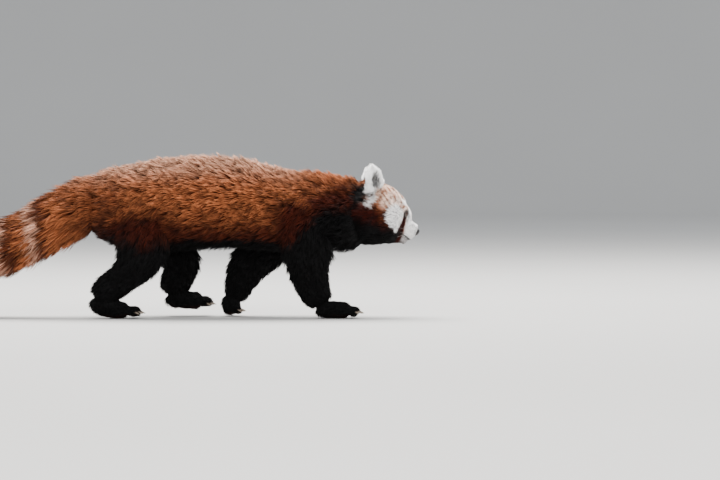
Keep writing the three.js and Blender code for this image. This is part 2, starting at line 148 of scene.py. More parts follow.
@dataclass(frozen=True)
class Tube:
    """A stretch of the body: stations of x, y, z, half depth and half width, out to the tips of its coat."""

    part: Part
    stations: tuple
    coat: tuple
    cap: float = 0.12

    def skin_sizes(self, sizes: np.ndarray) -> np.ndarray:
        """Half depths and half widths of the skin, which lies deeper under the coat towards one end."""
        depth = np.linspace(self.coat[0], self.coat[1], len(sizes))
        return np.maximum(sizes - depth[:, None], 1.5)

    def sample(self, count: int) -> tuple[np.ndarray, np.ndarray, np.ndarray]:
        """Run smoothly through the stations.

        Args:
            count: How many places to give.

        Returns:
            The places, their half depths and half widths, and the way along.
        """
        rows = np.array(self.stations, float)
        padded = np.vstack([2 * rows[0] - rows[1], rows, 2 * rows[-1] - rows[-2]])
        run = np.linspace(0, len(rows) - 1, count)
        first = np.minimum(run.astype(int), len(rows) - 2)
        t = (run - first)[:, None]
        a, b, c, d = (padded[first + shift] for shift in range(4))
        bend = 2 * a - 5 * b + 4 * c - d
        twist = 3 * b - a - 3 * c + d
        path = 0.5 * (2 * b + (c - a) * t + bend * t**2 + twist * t**3)
        return path[:, :3], path[:, 3:], unit(np.gradient(path[:, :3], axis=0))

    def rounded(self, count: int) -> np.ndarray:
        """The share of the full section left near the tube's ends."""
        u = np.linspace(0, 1, count)
        near = np.clip(np.minimum(u, 1 - u) / self.cap, 0, 1)
        return np.sqrt(np.clip(1 - (1 - near) ** 2, 0.02, 1))


@dataclass(frozen=True)
class Plan:
    """The animal's measured stretches, in millimetres from the floor beside the left fore paw.

    A station is x, y, z, half depth and half width, out to the tips of the coat. The limbs come in the order
    of LIMBS. A fan is where a paw's toes spread from, how far they reach and how far they drop.
    """

    body: tuple = (
        (252, 6, 182, 50, 48),
        (222, 4, 180, 62, 55),
        (188, 1, 181, 67, 60),
        (150, 0, 184, 71, 66),
        (110, 0, 185, 72, 71),
        (65, 0, 190, 76, 76),
        (10, 0, 199, 81, 80),
        (-50, 0, 200, 84, 81),
        (-110, 0, 196, 83, 79),
        (-165, 0, 193, 77, 73),
        (-205, 0, 196, 68, 62),
        (-238, 0, 198, 52, 46),
    )
    tail: tuple = (
        (-190, 0, 198, 52, 42),
        (-218, 0, 199, 55, 47),
        (-246, 0, 196, 54, 49),
        (-272, 0, 184, 53, 50),
        (-298, 0, 171, 52, 50),
        (-324, 0, 156, 51, 50),
        (-352, 0, 141, 50, 50),
        (-388, 0, 124, 50, 50),
        (-430, 0, 109, 49, 49),
        (-478, 0, 99, 47, 47),
        (-526, 0, 94, 45, 45),
        (-574, 0, 93, 39, 39),
        (-606, 0, 95, 30, 30),
    )
    legs: tuple = (
        (
            (-140, -38, 192, 46, 30),
            (-146, -45, 152, 50, 35),
            (-150, -48, 120, 47, 34),
            (-160, -48, 94, 38, 29),
            (-180, -47, 72, 30, 24),
            (-210, -45, 50, 27, 22),
            (-230, -43, 34, 21, 19),
        ),
        (
            (-132, 38, 192, 46, 30),
            (-118, 45, 152, 48, 35),
            (-100, 48, 120, 42, 34),
            (-90, 48, 98, 35, 29),
            (-92, 47, 76, 32, 25),
            (-99, 46, 56, 28, 22),
            (-106, 45, 38, 21, 19),
        ),
        (
            (122, -36, 192, 42, 28),
            (130, -41, 152, 45, 32),
            (136, -40, 118, 45, 31),
            (137, -40, 94, 39, 28),
            (141, -39, 70, 34, 25),
            (149, -38, 45, 29, 23),
            (159, -37, 24, 22, 20),
        ),
        (
            (118, 36, 188, 40, 28),
            (92, 41, 154, 43, 32),
            (62, 41, 122, 43, 31),
            (39, 40, 97, 38, 28),
            (24, 40, 74, 33, 25),
            (13, 39, 50, 26, 22),
            (6, 38, 30, 19, 19),
        ),
    )
    palms: tuple = (
        ((-234, -43, 36, 18, 16), (-222, -42, 25, 20, 20), (-200, -41, 16, 18, 23), (-176, -41, 14, 16, 24)),
        ((-112, 45, 38, 17, 17), (-96, 44, 31, 18, 20), (-74, 44, 28, 18, 22), (-54, 44, 25, 16, 23)),
        ((152, -37, 22, 18, 20), (170, -36, 16, 17, 22), (192, -36, 14, 16, 24), (207, -36, 13, 15, 24)),
        ((6, 38, 38, 17, 18), (2, 38, 27, 18, 20), (0, 38, 17, 18, 23), (5, 38, 14, 15, 24)),
    )
    fans: tuple = (
        (-182, -41, 11.5, 27, 2),
        (-62, 44, 25, 26, 4),
        (202, -36, 11.5, 23, 2),
        (-2, 38, 11.5, 19, 2),
    )
    body_coat: tuple = (10.0, 11.0)
    tail_coat: tuple = (12.0, 20.0)
    leg_coat: tuple = (9.5, 2.5)
    palm_coat: tuple = (3.2, 3.2)
    toe_coat: tuple = (2.0, 2.0)
    toes: int = 5
    toe_radius: float = 9.6
    toe_spread: float = 4.6
    toe_fan: float = 15.0

    def toe(self, fan: tuple, number: int) -> tuple:
        """The stations of one toe of a paw.

        Args:
            fan: Where the paw's toes spread from, their reach and their drop.
            number: Which toe, from the animal's right.

        Returns:
            Four stations from the ball of the foot to the toe's tip.
        """
        x, y, z, reach, drop = fan
        aside = number - (self.toes - 1) / 2
        heading = math.radians(aside * self.toe_fan)
        length = reach * (1 - 0.07 * abs(aside) ** 1.5)
        rows = ((-0.15, 1.0, 1.0), (0.35, 1.5, 1.0), (0.75, 0.0, 1.0), (1.0, -drop, 0.8))
        return tuple(
            (
                x + share * length * math.cos(heading),
                y + aside * self.toe_spread + share * length * math.sin(heading),
                z + rise,
                self.toe_radius * size,
                self.toe_radius * size * 0.86,
            )
            for share, rise, size in rows
        )

    def tubes(self) -> list[Tube]:
        """Every stretch of the trunk, tail and limbs."""
        found = [
            Tube(Part.BODY, self.body, self.body_coat, 0.06),
            Tube(Part.TAIL, self.tail, self.tail_coat, 0.08),
        ]
        for leg, palm, fan in zip(self.legs, self.palms, self.fans):
            found.append(Tube(Part.LEG, leg, self.leg_coat, 0.08))
            found.append(Tube(Part.PAW, palm, self.palm_coat, 0.16))
            toes = [self.toe(fan, number) for number in range(self.toes)]
            found += [Tube(Part.PAW, toe, self.toe_coat, 0.2) for toe in toes]
        return found


@dataclass(frozen=True)
class Face:
    """Sizes of the head, in its own axes, in millimetres.

    The skull, bridge, cheek and brow each have a middle, half sizes out to the coat's tips, and its depth.
    """

    skull: tuple = ((-1.0, 0.0, -4.0), (58.0, 53.0, 55.0), 3.0)
    bridge: tuple = ((36.0, 0.0, 4.0), (25.0, 24.0, 27.0), 0.4)
    cheek: tuple = ((8.0, 31.0, -17.0), (38.0, 29.0, 32.0), 10.0)
    brow: tuple = ((33.0, 19.0, 15.0), (16.0, 15.0, 16.0), 0.4)
    muzzle: tuple = (
        (26, 0, -6, 25, 30),
        (42, 0, -7, 21, 26),
        (57, 0, -7.5, 15, 20),
        (67, 0, -7, 14.5, 17),
        (76.5, 0, -7.5, 12, 13),
    )
    # Smoothing shrinks what is thin, so the muzzle's skin is drawn larger than the muzzle.
    muzzle_coat: tuple = (-0.4, -1.2)
    jaw: tuple = (
        (8, 0, -31, 18, 34),
        (30, 0, -32, 15, 26),
        (48, 0, -28.5, 9, 17),
        (60, 0, -26.5, 6.5, 12),
        (68, 0, -26, 5, 8),
    )
    jaw_coat: tuple = (1.0, 0.4)
    eye: tuple = (41.5, 25.0, 15.2)
    eye_radius: float = 6.8
    eye_sunk: float = 0.9
    eye_look: tuple = (0.84, 0.54, 0.02)
    nose: tuple = (75.9, 0.0, -5.0)
    nose_size: tuple = (5.4, 8.8, 6.6)
    mouth_corner: float = 51.0
    mouth_height: float = -19.5
    mouth_slope: float = 0.09
    mouth: tuple = ((51.0, 17.0, -19.0), (59.0, 14.0, -20.5), (66.0, 9.5, -21.5), (71.0, 0.0, -21.8))
    ear_base: tuple = (-21.5, 40.0, 32.0)
    ear_shift: float = 5.0
    ear_up: tuple = (-0.5, 0.36, 0.8)
    ear_faces: tuple = (0.6, 0.78, 0.3)
    ear_shell: tuple = (
        (0, 0, -6, 12, 20),
        (0, 0, 8, 11, 22),
        (-1, 0, 22, 9, 20),
        (-3, 0, 34, 6, 13),
        (-5, 0, 42, 3.5, 6),
    )
    ear_coat: tuple = (1.6, 1.6)
    ear_cup: tuple = ((9.0, 0.0, 15.0), (11.0, 15.5, 21.0))

    def mirrored(self, place: tuple, side: int) -> np.ndarray:
        """A place given for the left side, on either side."""
        return np.array([place[0], place[1] * side, place[2]], float)

    def lip_share(self, local: np.ndarray, reach: float) -> np.ndarray:
        """How near each place is to the line of the mouth, from 0 at the reach to 1 on it."""
        line = self.mouth_height - self.mouth_slope * (local[:, 0] - self.mouth_corner)
        near = ease(np.abs(local[:, 2] - line), reach, 0.0)
        return near * ease(local[:, 0], self.mouth_corner - 4, self.mouth_corner)

    def ear_foot(self, side: int) -> np.ndarray:
        """Where one ear stands on the head."""
        return self.mirrored(self.ear_base, side) + np.array([self.ear_shift * side, 0.0, 0.0])

    def gaze(self, side: int) -> tuple[np.ndarray, np.ndarray]:
        """The middle of one eyeball and the way it looks, in the head's axes."""
        look = unit(self.mirrored(self.eye_look, side))
        return self.mirrored(self.eye, side) - look * self.eye_sunk, look

    def ear_axes(self, side: int) -> np.ndarray:
        """The ear's own axes in the head's: the way its cup faces, its width and its height, as columns."""
        up = unit(self.mirrored(self.ear_up, side))
        wide = unit(np.cross(up, self.mirrored(self.ear_faces, side)))
        return np.column_stack([unit(np.cross(wide, up)), wide, up])

    def ear_out(self, points: np.ndarray, side: int) -> np.ndarray:
        """Places on an ear in the animal's axes."""
        return HEAD.out(np.asarray(points, float) @ self.ear_axes(side).T + self.ear_foot(side))

    def ear_into(self, points: np.ndarray, side: int) -> np.ndarray:
        """Places of the animal in an ear's axes."""
        return (HEAD.into(points) - self.ear_foot(side)) @ self.ear_axes(side)


PLAN = Plan()
FACE = Face()


def find_shift() -> np.ndarray:
    """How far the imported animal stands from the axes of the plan, in millimetres."""
    low, high = (np.array(corner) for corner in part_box("eye_right"))
    return (low + high) / 2 / MM - HEAD.out(FACE.mirrored(FACE.eye, -1))


SHIFT = find_shift()


def place(points: np.ndarray) -> np.ndarray:
    """Places of the plan in the scene, in metres."""
    return (np.asarray(points, float) + SHIFT) * MM


class Wire:
    """A shader socket that arithmetic can be written with."""

    def __init__(self, maker: "Maker", socket: bpy.types.NodeSocket) -> None:
        """Wrap a socket of the maker's node tree."""
        self.maker = maker
        self.socket = socket

    def _math(self, kind: str, first: "Wire | float", second: "Wire | float") -> "Wire":
        """Add a Math node of two values and give its result."""
        return self.maker.node("ShaderNodeMath", {"operation": kind}, {0: first, 1: second})

    def __add__(self, other: "Wire | float") -> "Wire":
        """Sum."""
        return self._math("ADD", self, other)

    def __sub__(self, other: "Wire | float") -> "Wire":
        """Difference."""
        return self._math("SUBTRACT", self, other)

    def __rsub__(self, other: "Wire | float") -> "Wire":
        """Difference from a number."""
        return self._math("SUBTRACT", other, self)

    def __mul__(self, other: "Wire | float") -> "Wire":
        """Product."""
        return self._math("MULTIPLY", self, other)

    def __pow__(self, other: "Wire | float") -> "Wire":
        """Power."""
        return self._math("POWER", self, other)

    __radd__ = __add__
    __rmul__ = __mul__

    def clamped(self) -> "Wire":
        """The value held between 0 and 1."""
        return self.maker.node("ShaderNodeClamp", {}, {"Value": self})


Colour = tuple[float, float, float]


class Maker:
    """Makes one material and its nodes."""

    def __init__(self, name: str, roughness: float, specular: float = 0.5) -> None:
        """Start a material with a Principled surface.

        Args:
            name: The material's name.
            roughness: How matt the surface is.
            specular: How strongly it reflects at its face.
        """
        self.material = bpy.data.materials.new(name)
        self.material.use_nodes = True
        self.tree = self.material.node_tree
        self.surface = self.tree.nodes["Principled BSDF"]
        self.surface.inputs["Roughness"].default_value = roughness
        self.surface.inputs["Specular IOR Level"].default_value = specular

    def node(self, kind: str, settings: dict, inputs: dict, output: str | int = 0) -> Wire:
        """Add a node, set it and feed it.

        Args:
            kind: The node's type.
            settings: Properties to set before anything is linked.
            inputs: A value, colour or wire for each named or numbered socket.
            output: The socket to give back.

        Returns:
            The node's output.
        """
        made = self.tree.nodes.new(kind)
        for name, value in settings.items():
            setattr(made, name, value)
        for name, value in inputs.items():
            self.feed(made.inputs[name], value)
        return Wire(self, made.outputs[output])

    def feed(self, socket: bpy.types.NodeSocket, value: "Wire | float | Colour") -> None:
        """Link a wire to a socket, or set the socket to a value."""
        if isinstance(value, Wire):
            self.tree.links.new(value.socket, socket)
        elif isinstance(value, tuple) and len(socket.default_value) == 4:
            socket.default_value = (*value, 1.0)
        else:
            socket.default_value = value

    def split(self, name: str) -> list[Wire]:
        """The red, green and blue of a colour attribute as three values, and its alpha as a fourth."""
        stored = self.node("ShaderNodeAttribute", {"attribute_name": name}, {}, "Color")
        alpha = Wire(self, stored.socket.node.outputs["Alpha"])
        parts = self.node("ShaderNodeSeparateColor", {}, {"Color": stored})
        return [Wire(self, socket) for socket in parts.socket.node.outputs] + [alpha]

    def mix(
        self, share: "Wire | float", first: "Wire | Colour", second: "Wire | Colour", blend: str = "MIX"
    ) -> Wire:
        """Blend two colours.

        Args:
            share: How much of the second shows.
            first: The colour at 0.
            second: The colour at 1.
            blend: How the second meets the first.

        Returns:
            The mixed colour.
        """
        settings = {"data_type": "RGBA", "blend_type": blend}
        return self.node("ShaderNodeMix", settings, {0: share, 6: first, 7: second}, 2)

    def noise(self, scale: float, detail: float = 2.0) -> Wire:
        """Noise fixed to the object, with so many bumps to the metre."""
        where = self.node("ShaderNodeTexCoord", {}, {}, "Object")
        return self.node("ShaderNodeTexNoise", {}, {"Vector": where, "Scale": scale, "Detail": detail})

    def bump(self, height: Wire, strength: float, distance: float) -> None:
        """Raise the surface by a pattern, over a depth in metres."""
        feeds = {"Height": height, "Strength": strength, "Distance": distance}
        self.feed(self.surface.inputs["Normal"], self.node("ShaderNodeBump", {}, feeds))

    def colour(self, value: "Wire | Colour") -> None:
        """Set the surface's colour."""
        self.feed(self.surface.inputs["Base Color"], value)


@dataclass(frozen=True)
class CoatFinish:
    """The fur's pigments, with painted sky light on the top of the back and painted shade towards the roots,
    mixed by what each tuft carries.
    """

    # Rust darker at the root than at the tip: partly the hair's own tone, partly painted shade deep in the
    # coat.
    rust: Colour = (0.18, 0.037, 0.011)
    rust_tip: Colour = (0.43, 0.138, 0.051)
    # Deep red: the coat's own darker red, also carrying the painted shade of the lower flank and the back of
    # the rump.
    ember: Colour = (0.038, 0.0045, 0.0019)
    buff: Colour = (0.88, 0.63, 0.49)
    black: Colour = (0.0035, 0.0033, 0.0036)
    white: Colour = (0.96, 0.945, 0.935)
    # Painted sky light: a pale cream over the tips of the upward-facing fur on the top of the back.
    sky_sheen: Colour = (0.95, 0.62, 0.44)
    root_shade: float = 0.15
    tip_gain: float = 0.75
    clump_dark: float = 0.45
    clump_gain: float = 1.10
    pale_lift: float = 0.88

    def material(self, name: str, skin: bool) -> bpy.types.Material:
        """Make the fur, or the skin that carries the same markings under it.

        Args:
            name: The material's name.
            skin: Whether this is the skin.

        Returns:
            The material.
        """
        made = Maker(name, 0.72, 0.10)
        dark, pale, warm, deep = made.split("pigment")
        if skin:
            along, chance, sky_sheen = 0.25, 0.5, 0.0
        else:
            along, chance, sky_sheen, _ = made.split("strand")
        # Darker at the root, lighter at the tip: partly the hair's own tone, partly painted shade deep in the
        # coat.
        colour = made.mix(along, self.rust, self.rust_tip)
        colour = made.mix(deep, colour, self.ember)
        colour = made.mix(warm, colour, self.buff)
        # Painted sky light on the top of the back.
        colour = made.mix(sky_sheen, colour, self.sky_sheen)
        colour = made.mix(dark, colour, self.black)
        colour = made.mix(pale, colour, self.white)
        if skin:
            shade = made.noise(160.0) * 0.2 + 0.25
        else:
            ramp = along ** self.tip_gain
            shade = ramp * (1 - self.root_shade) + self.root_shade
            shade = shade * (chance * self.clump_gain + self.clump_dark)
            light = (pale + warm * 0.75).clamped() * self.pale_lift
            shade = shade + (1 - shade) * light
        grey = made.node("ShaderNodeCombineColor", {}, {0: shade, 1: shade, 2: shade})
        colour = made.mix(1.0, colour, grey, "MULTIPLY")
        made.colour(colour)
        if skin:
            made.bump(made.noise(900.0, 3.0), 0.4, 0.0006)
        return made.material


@dataclass(frozen=True)
class EyeFinish:
    """A wet, dark brown eye with a black pupil."""

    pupil: Colour = (0.002, 0.0015, 0.001)
    iris: Colour = (0.045, 0.016, 0.006)
    iris_dark: Colour = (0.02, 0.007, 0.003)
    edge: Colour = (0.018, 0.009, 0.006)

    def material(self) -> bpy.types.Material:
        """Make the eye from how far each point lies from the middle of its gaze."""
        made = Maker("eye_surface", 0.10, 0.4)
        gaze = made.split("gaze")[0]
        past_pupil = made.node("ShaderNodeMapRange", {}, {0: gaze, 1: 0.40, 2: 0.46})
        past_iris = made.node("ShaderNodeMapRange", {}, {0: gaze, 1: 0.80, 2: 0.92})
        flecks = made.mix(made.noise(1800.0, 3.0), self.iris_dark, self.iris)
        made.colour(made.mix(past_iris, made.mix(past_pupil, self.pupil, flecks), self.edge))
        made.surface.inputs["Coat Weight"].default_value = 0.5
        made.surface.inputs["Coat Roughness"].default_value = 0.02
        return made.material


@dataclass(frozen=True)
class WetSkinFinish:
    """Bare, finely pebbled skin, as on the nose, lips and lids."""

    name: str
    base: Colour = (0.006, 0.005, 0.005)
    light: Colour = (0.018, 0.015, 0.015)
    roughness: float = 0.38

    def material(self) -> bpy.types.Material:
        """Make the skin with its pebbles."""
        made = Maker(self.name, self.roughness, 0.35)
        where = made.node("ShaderNodeTexCoord", {}, {}, "Object")
        cells = made.node("ShaderNodeTexVoronoi", {}, {"Vector": where, "Scale": 1300.0}, "Distance")
        made.colour(made.mix(cells, self.light, self.base))
        made.bump(1 - cells, 0.5, 0.0003)
        return made.material


@dataclass(frozen=True)
class HornFinish:
    """Smooth claw, pale at the tip and dark at the root."""

    root: Colour = (0.05, 0.035, 0.025)
    tip: Colour = (0.25, 0.20, 0.155)

    def material(self) -> bpy.types.Material:
        """Make the horn from how far along the claw each point lies."""
        made = Maker("claw_horn", 0.32, 0.5)
        along = made.split("claw")[0]
        streak = made.noise(700.0, 3.0) * 0.3
        made.colour(made.mix((along + streak - 0.15).clamped(), self.root, self.tip))
        return made.material


@dataclass(frozen=True)
class PlainFinish:
    """A near-plain surface with a faint mottle, as on whiskers and the studio's paper."""

    name: str
    base: Colour
    light: Colour
    roughness: float = 0.8
    scale: float = 6.0

    def material(self) -> bpy.types.Material:
        """Make the surface."""
        made = Maker(self.name, self.roughness, 0.3)
        made.colour(made.mix(made.noise(self.scale), self.base, self.light))
        return made.material


def deselect_all() -> None:
    """Leave object mode and let go of every object."""
    if bpy.context.mode != "OBJECT":
        bpy.ops.object.mode_set(mode="OBJECT")
    bpy.ops.object.select_all(action="DESELECT")


def choose(piece: bpy.types.Object) -> None:
    """Make one object the only one selected, and active."""
    deselect_all()
    piece.select_set(True)
    bpy.context.view_layer.objects.active = piece


def apply_modifier(piece: bpy.types.Object, kind: str, **settings: object) -> None:
    """Add a modifier, set it and apply it.

    Args:
        piece: The object to change.
        kind: The modifier's type.
        **settings: Its properties.
    """
    choose(piece)
    modifier = piece.modifiers.new(kind.lower(), kind)
    for name, value in settings.items():
        setattr(modifier, name, value)
    bpy.ops.object.modifier_apply(modifier=modifier.name)


def settle(piece: bpy.types.Object, name: str) -> bpy.types.Object:
    """Name a finished object and put its place into its mesh."""
    choose(piece)
    bpy.ops.object.transform_apply(location=True, rotation=True, scale=True)
    piece.name = name
    piece.data.name = name
    return piece


def coords(mesh: bpy.types.Mesh) -> np.ndarray:
    """The mesh's vertices, in metres."""
    flat = np.empty(len(mesh.vertices) * 3, np.float32)
    mesh.vertices.foreach_get("co", flat)
    return flat.reshape(-1, 3).astype(float)


def set_coords(mesh: bpy.types.Mesh, places: np.ndarray) -> None:
    """Move the mesh's vertices."""
    mesh.vertices.foreach_set("co", places.astype(np.float32).ravel())
    mesh.update()


def store_colour(mesh: bpy.types.Mesh, name: str, values: np.ndarray) -> None:
    """Keep four values for each vertex as a named colour attribute.

    Args:
        mesh: The mesh to write on.
        name: The attribute's name.
        values: One row of up to four values for each vertex.
    """
    rows = np.ones((len(values), 4), np.float32)
    rows[:, : values.shape[1]] = values
    layer = mesh.attributes.new(name, "FLOAT_COLOR", "POINT")
    layer.data.foreach_set("color", rows.ravel())


def mesh_from_arrays(name: str, places: np.ndarray, triangles: np.ndarray) -> bpy.types.Object:
    """Make an object from vertices in metres and rows of three corners."""
    mesh = bpy.data.meshes.new(name)
    mesh.vertices.add(len(places))
    mesh.vertices.foreach_set("co", places.astype(np.float32).ravel())
    mesh.loops.add(triangles.size)
    mesh.loops.foreach_set("vertex_index", triangles.astype(np.int32).ravel())
    mesh.polygons.add(len(triangles))
    mesh.polygons.foreach_set("loop_start", np.arange(0, triangles.size, 3, dtype=np.int32))
    mesh.polygons.foreach_set("use_smooth", np.ones(len(triangles), bool))
    mesh.update(calc_edges=True)
    piece = bpy.data.objects.new(name, mesh)
    bpy.context.scene.collection.objects.link(piece)
    return piece


@dataclass
class Fields:
    """What the coat needs to know at each place of the skin."""

    lie: np.ndarray
    length: np.ndarray
    lift: np.ndarray
    part: np.ndarray


@dataclass
class CoatMap:
    """Where each stretch of coat lies, how long it is, which way it runs and how steeply it rises."""

    body_length: float = 23.0
    tail_length: float = 40.0
    thigh_length: float = 25.0
    shank_length: float = 14.0
    paw_length: float = 9.5
    ear_length: float = 9.0
    cheek_length: float = 20.0
    crown_length: float = 8.5
    muzzle_length: float = 4.4
    neck_length: float = 30.0
    widest: tuple = (66.0, 75.0)
    parts: tuple = (Part.BODY, Part.TAIL, Part.LEG, Part.PAW, Part.HEAD, Part.EAR)
    lifts: tuple = (0.80, 0.58, 0.52, 0.36, 0.46, 0.46)

    def measure(self, points: np.ndarray) -> tuple[np.ndarray, np.ndarray]:
        """Weigh every stretch at each place and blend the ways that they run.

        Args:
            points: Places on the skin, in the plan's millimetres.

        Returns:
            The weight of each part and the blended way along.
        """
        weights = np.zeros((len(points), len(self.parts)))
        way = np.zeros((len(points), 3))
        for tube in PLAN.tubes():
            centres, sizes, along = tube.sample(28)
            gap = points[:, None, :] - centres[None]
            size = tube.skin_sizes(sizes).mean(axis=1)
            off = np.linalg.norm(gap, axis=2) - size[None]
            best = off.argmin(axis=1)
            near = off[np.arange(len(points)), best]
            weight = np.exp(-np.maximum(near, 0) / 7.0)
            weights[:, self.parts.index(tube.part)] += weight
            way += weight[:, None] * along[best]
        local = HEAD.into(points)
        on_head = self.head_weight(local)
        weights[:, self.parts.index(Part.HEAD)] = on_head * 3
        way = way * (1 - on_head[:, None]) + 3 * on_head[:, None] * self.head_way(local)
        for side in SIDES.values():
            own = FACE.ear_into(points, side)
            on_ear = ease(own[:, 2], -2, 6) * (np.abs(own[:, 1]) < 28) * (np.abs(own[:, 0]) < 15)
            weights[:, self.parts.index(Part.EAR)] += on_ear * 30
            spread = np.stack([own[:, 0] * 0.2 + 4, own[:, 1] * 0.5, np.full(len(own), 22.0)], axis=1)
            ear_way = unit(spread) @ FACE.ear_axes(side).T @ HEAD.turn().T
            way = way * (1 - on_ear[:, None]) + 8 * on_ear[:, None] * ear_way
        return weights, way

    def head_weight(self, local: np.ndarray) -> np.ndarray:
        """How far each place, in the head's axes, belongs to the head."""
        skull = np.linalg.norm(local / np.array([62.0, 58.0, 60.0]), axis=1)
        return np.maximum(ease(skull, 1.15, 0.95) * ease(local[:, 0], -50, -28), ease(local[:, 0], 20, 34))

    def head_way(self, local: np.ndarray) -> np.ndarray:
        """The way that the face's fur runs: from the nose back, and down over the cheeks."""
        from_nose = unit(local - np.array([86.0, 0.0, -2.0]))
        cheek = ease(local[:, 2], 4, -20) * ease(local[:, 0], 44, 20)
        from_nose += cheek[:, None] * np.array([-0.2, 0.0, -0.55])
        crown = ease(local[:, 2], 20, 40)
        from_nose += crown[:, None] * np.array([-0.8, 0.0, 0.0])
        return unit(from_nose) @ HEAD.turn().T

    def head_length(self, local: np.ndarray) -> np.ndarray:
        """How long the fur is on each place of the head."""
        length = np.full(len(local), self.crown_length)
        cheek = ease(local[:, 2], 12, -14) * ease(local[:, 0], 30, 0)
        length += cheek * (self.cheek_length - self.crown_length)
        back = ease(local[:, 0], -2, -36)
        length += back * (self.neck_length - length)
        muzzle = ease(local[:, 0] - 0.25 * local[:, 2], 30, 52)
        length += muzzle * (self.muzzle_length - length)
        for side in SIDES.values():
            away = np.linalg.norm(local - FACE.mirrored(FACE.eye, side), axis=1)
            length *= 0.32 + 0.68 * ease(away, 8, 20)
            away = np.linalg.norm(local - FACE.ear_foot(side), axis=1)
            length *= 0.55 + 0.45 * ease(away, 16, 42)
        return length * (1 - 0.5 * FACE.lip_share(local, 5.0))

    def at(self, points: np.ndarray, normals: np.ndarray) -> Fields:
        """Find the coat's fields at places of the skin.

        Args:
            points: The places, in the plan's millimetres.
            normals: The skin's normals there.

        Returns:
            The fields.
        """
        weights, way = self.measure(points)
        shares = weights / np.maximum(weights.sum(axis=1, keepdims=True), 1e-9)
        local = HEAD.into(points)
        high = ease(points[:, 2], 62, 128)
        lengths = np.stack(
            [
                np.full(len(points), self.body_length),
                np.full(len(points), self.tail_length) - 9 * ease(points[:, 0], -310, -215),
                self.shank_length + (self.thigh_length - self.shank_length) * high,
                np.full(len(points), self.paw_length),
                self.head_length(local),
                np.full(len(points), self.ear_length),
            ],
            axis=1,
        )
        furry = shares[:, 0] + shares[:, 2] * high
        way = unit(way) + furry[:, None] * np.array([-0.35, 0.0, 0.0])
        sides = 1 - np.abs(normals[:, 2])
        way[:, 2] -= (0.30 * furry + 0.08) * sides * (1 - shares[:, 5]) * (1 - shares[:, 4])
        flat = way - normals * np.sum(way * normals, axis=1, keepdims=True)
        drawn_in = 1 - 0.4 * ease(np.abs(points[:, 1]), *self.widest)
        lift = (shares @ np.array(self.lifts)) * drawn_in
        return Fields(unit(flat), np.sum(shares * lengths, axis=1), lift, shares)


@dataclass(frozen=True)
class Patch:
    """An oval marking on each side of the head: its middle forward and up, and its half sizes."""

    forward: float
    up: float
    long: float
    tall: float

    def far(self, forward: np.ndarray, up: np.ndarray) -> np.ndarray:
        """How far out each place lies, from 0 in the middle to 1 at the patch's edge."""
        return np.hypot((forward - self.forward) / self.long, (up - self.up) / self.tall)


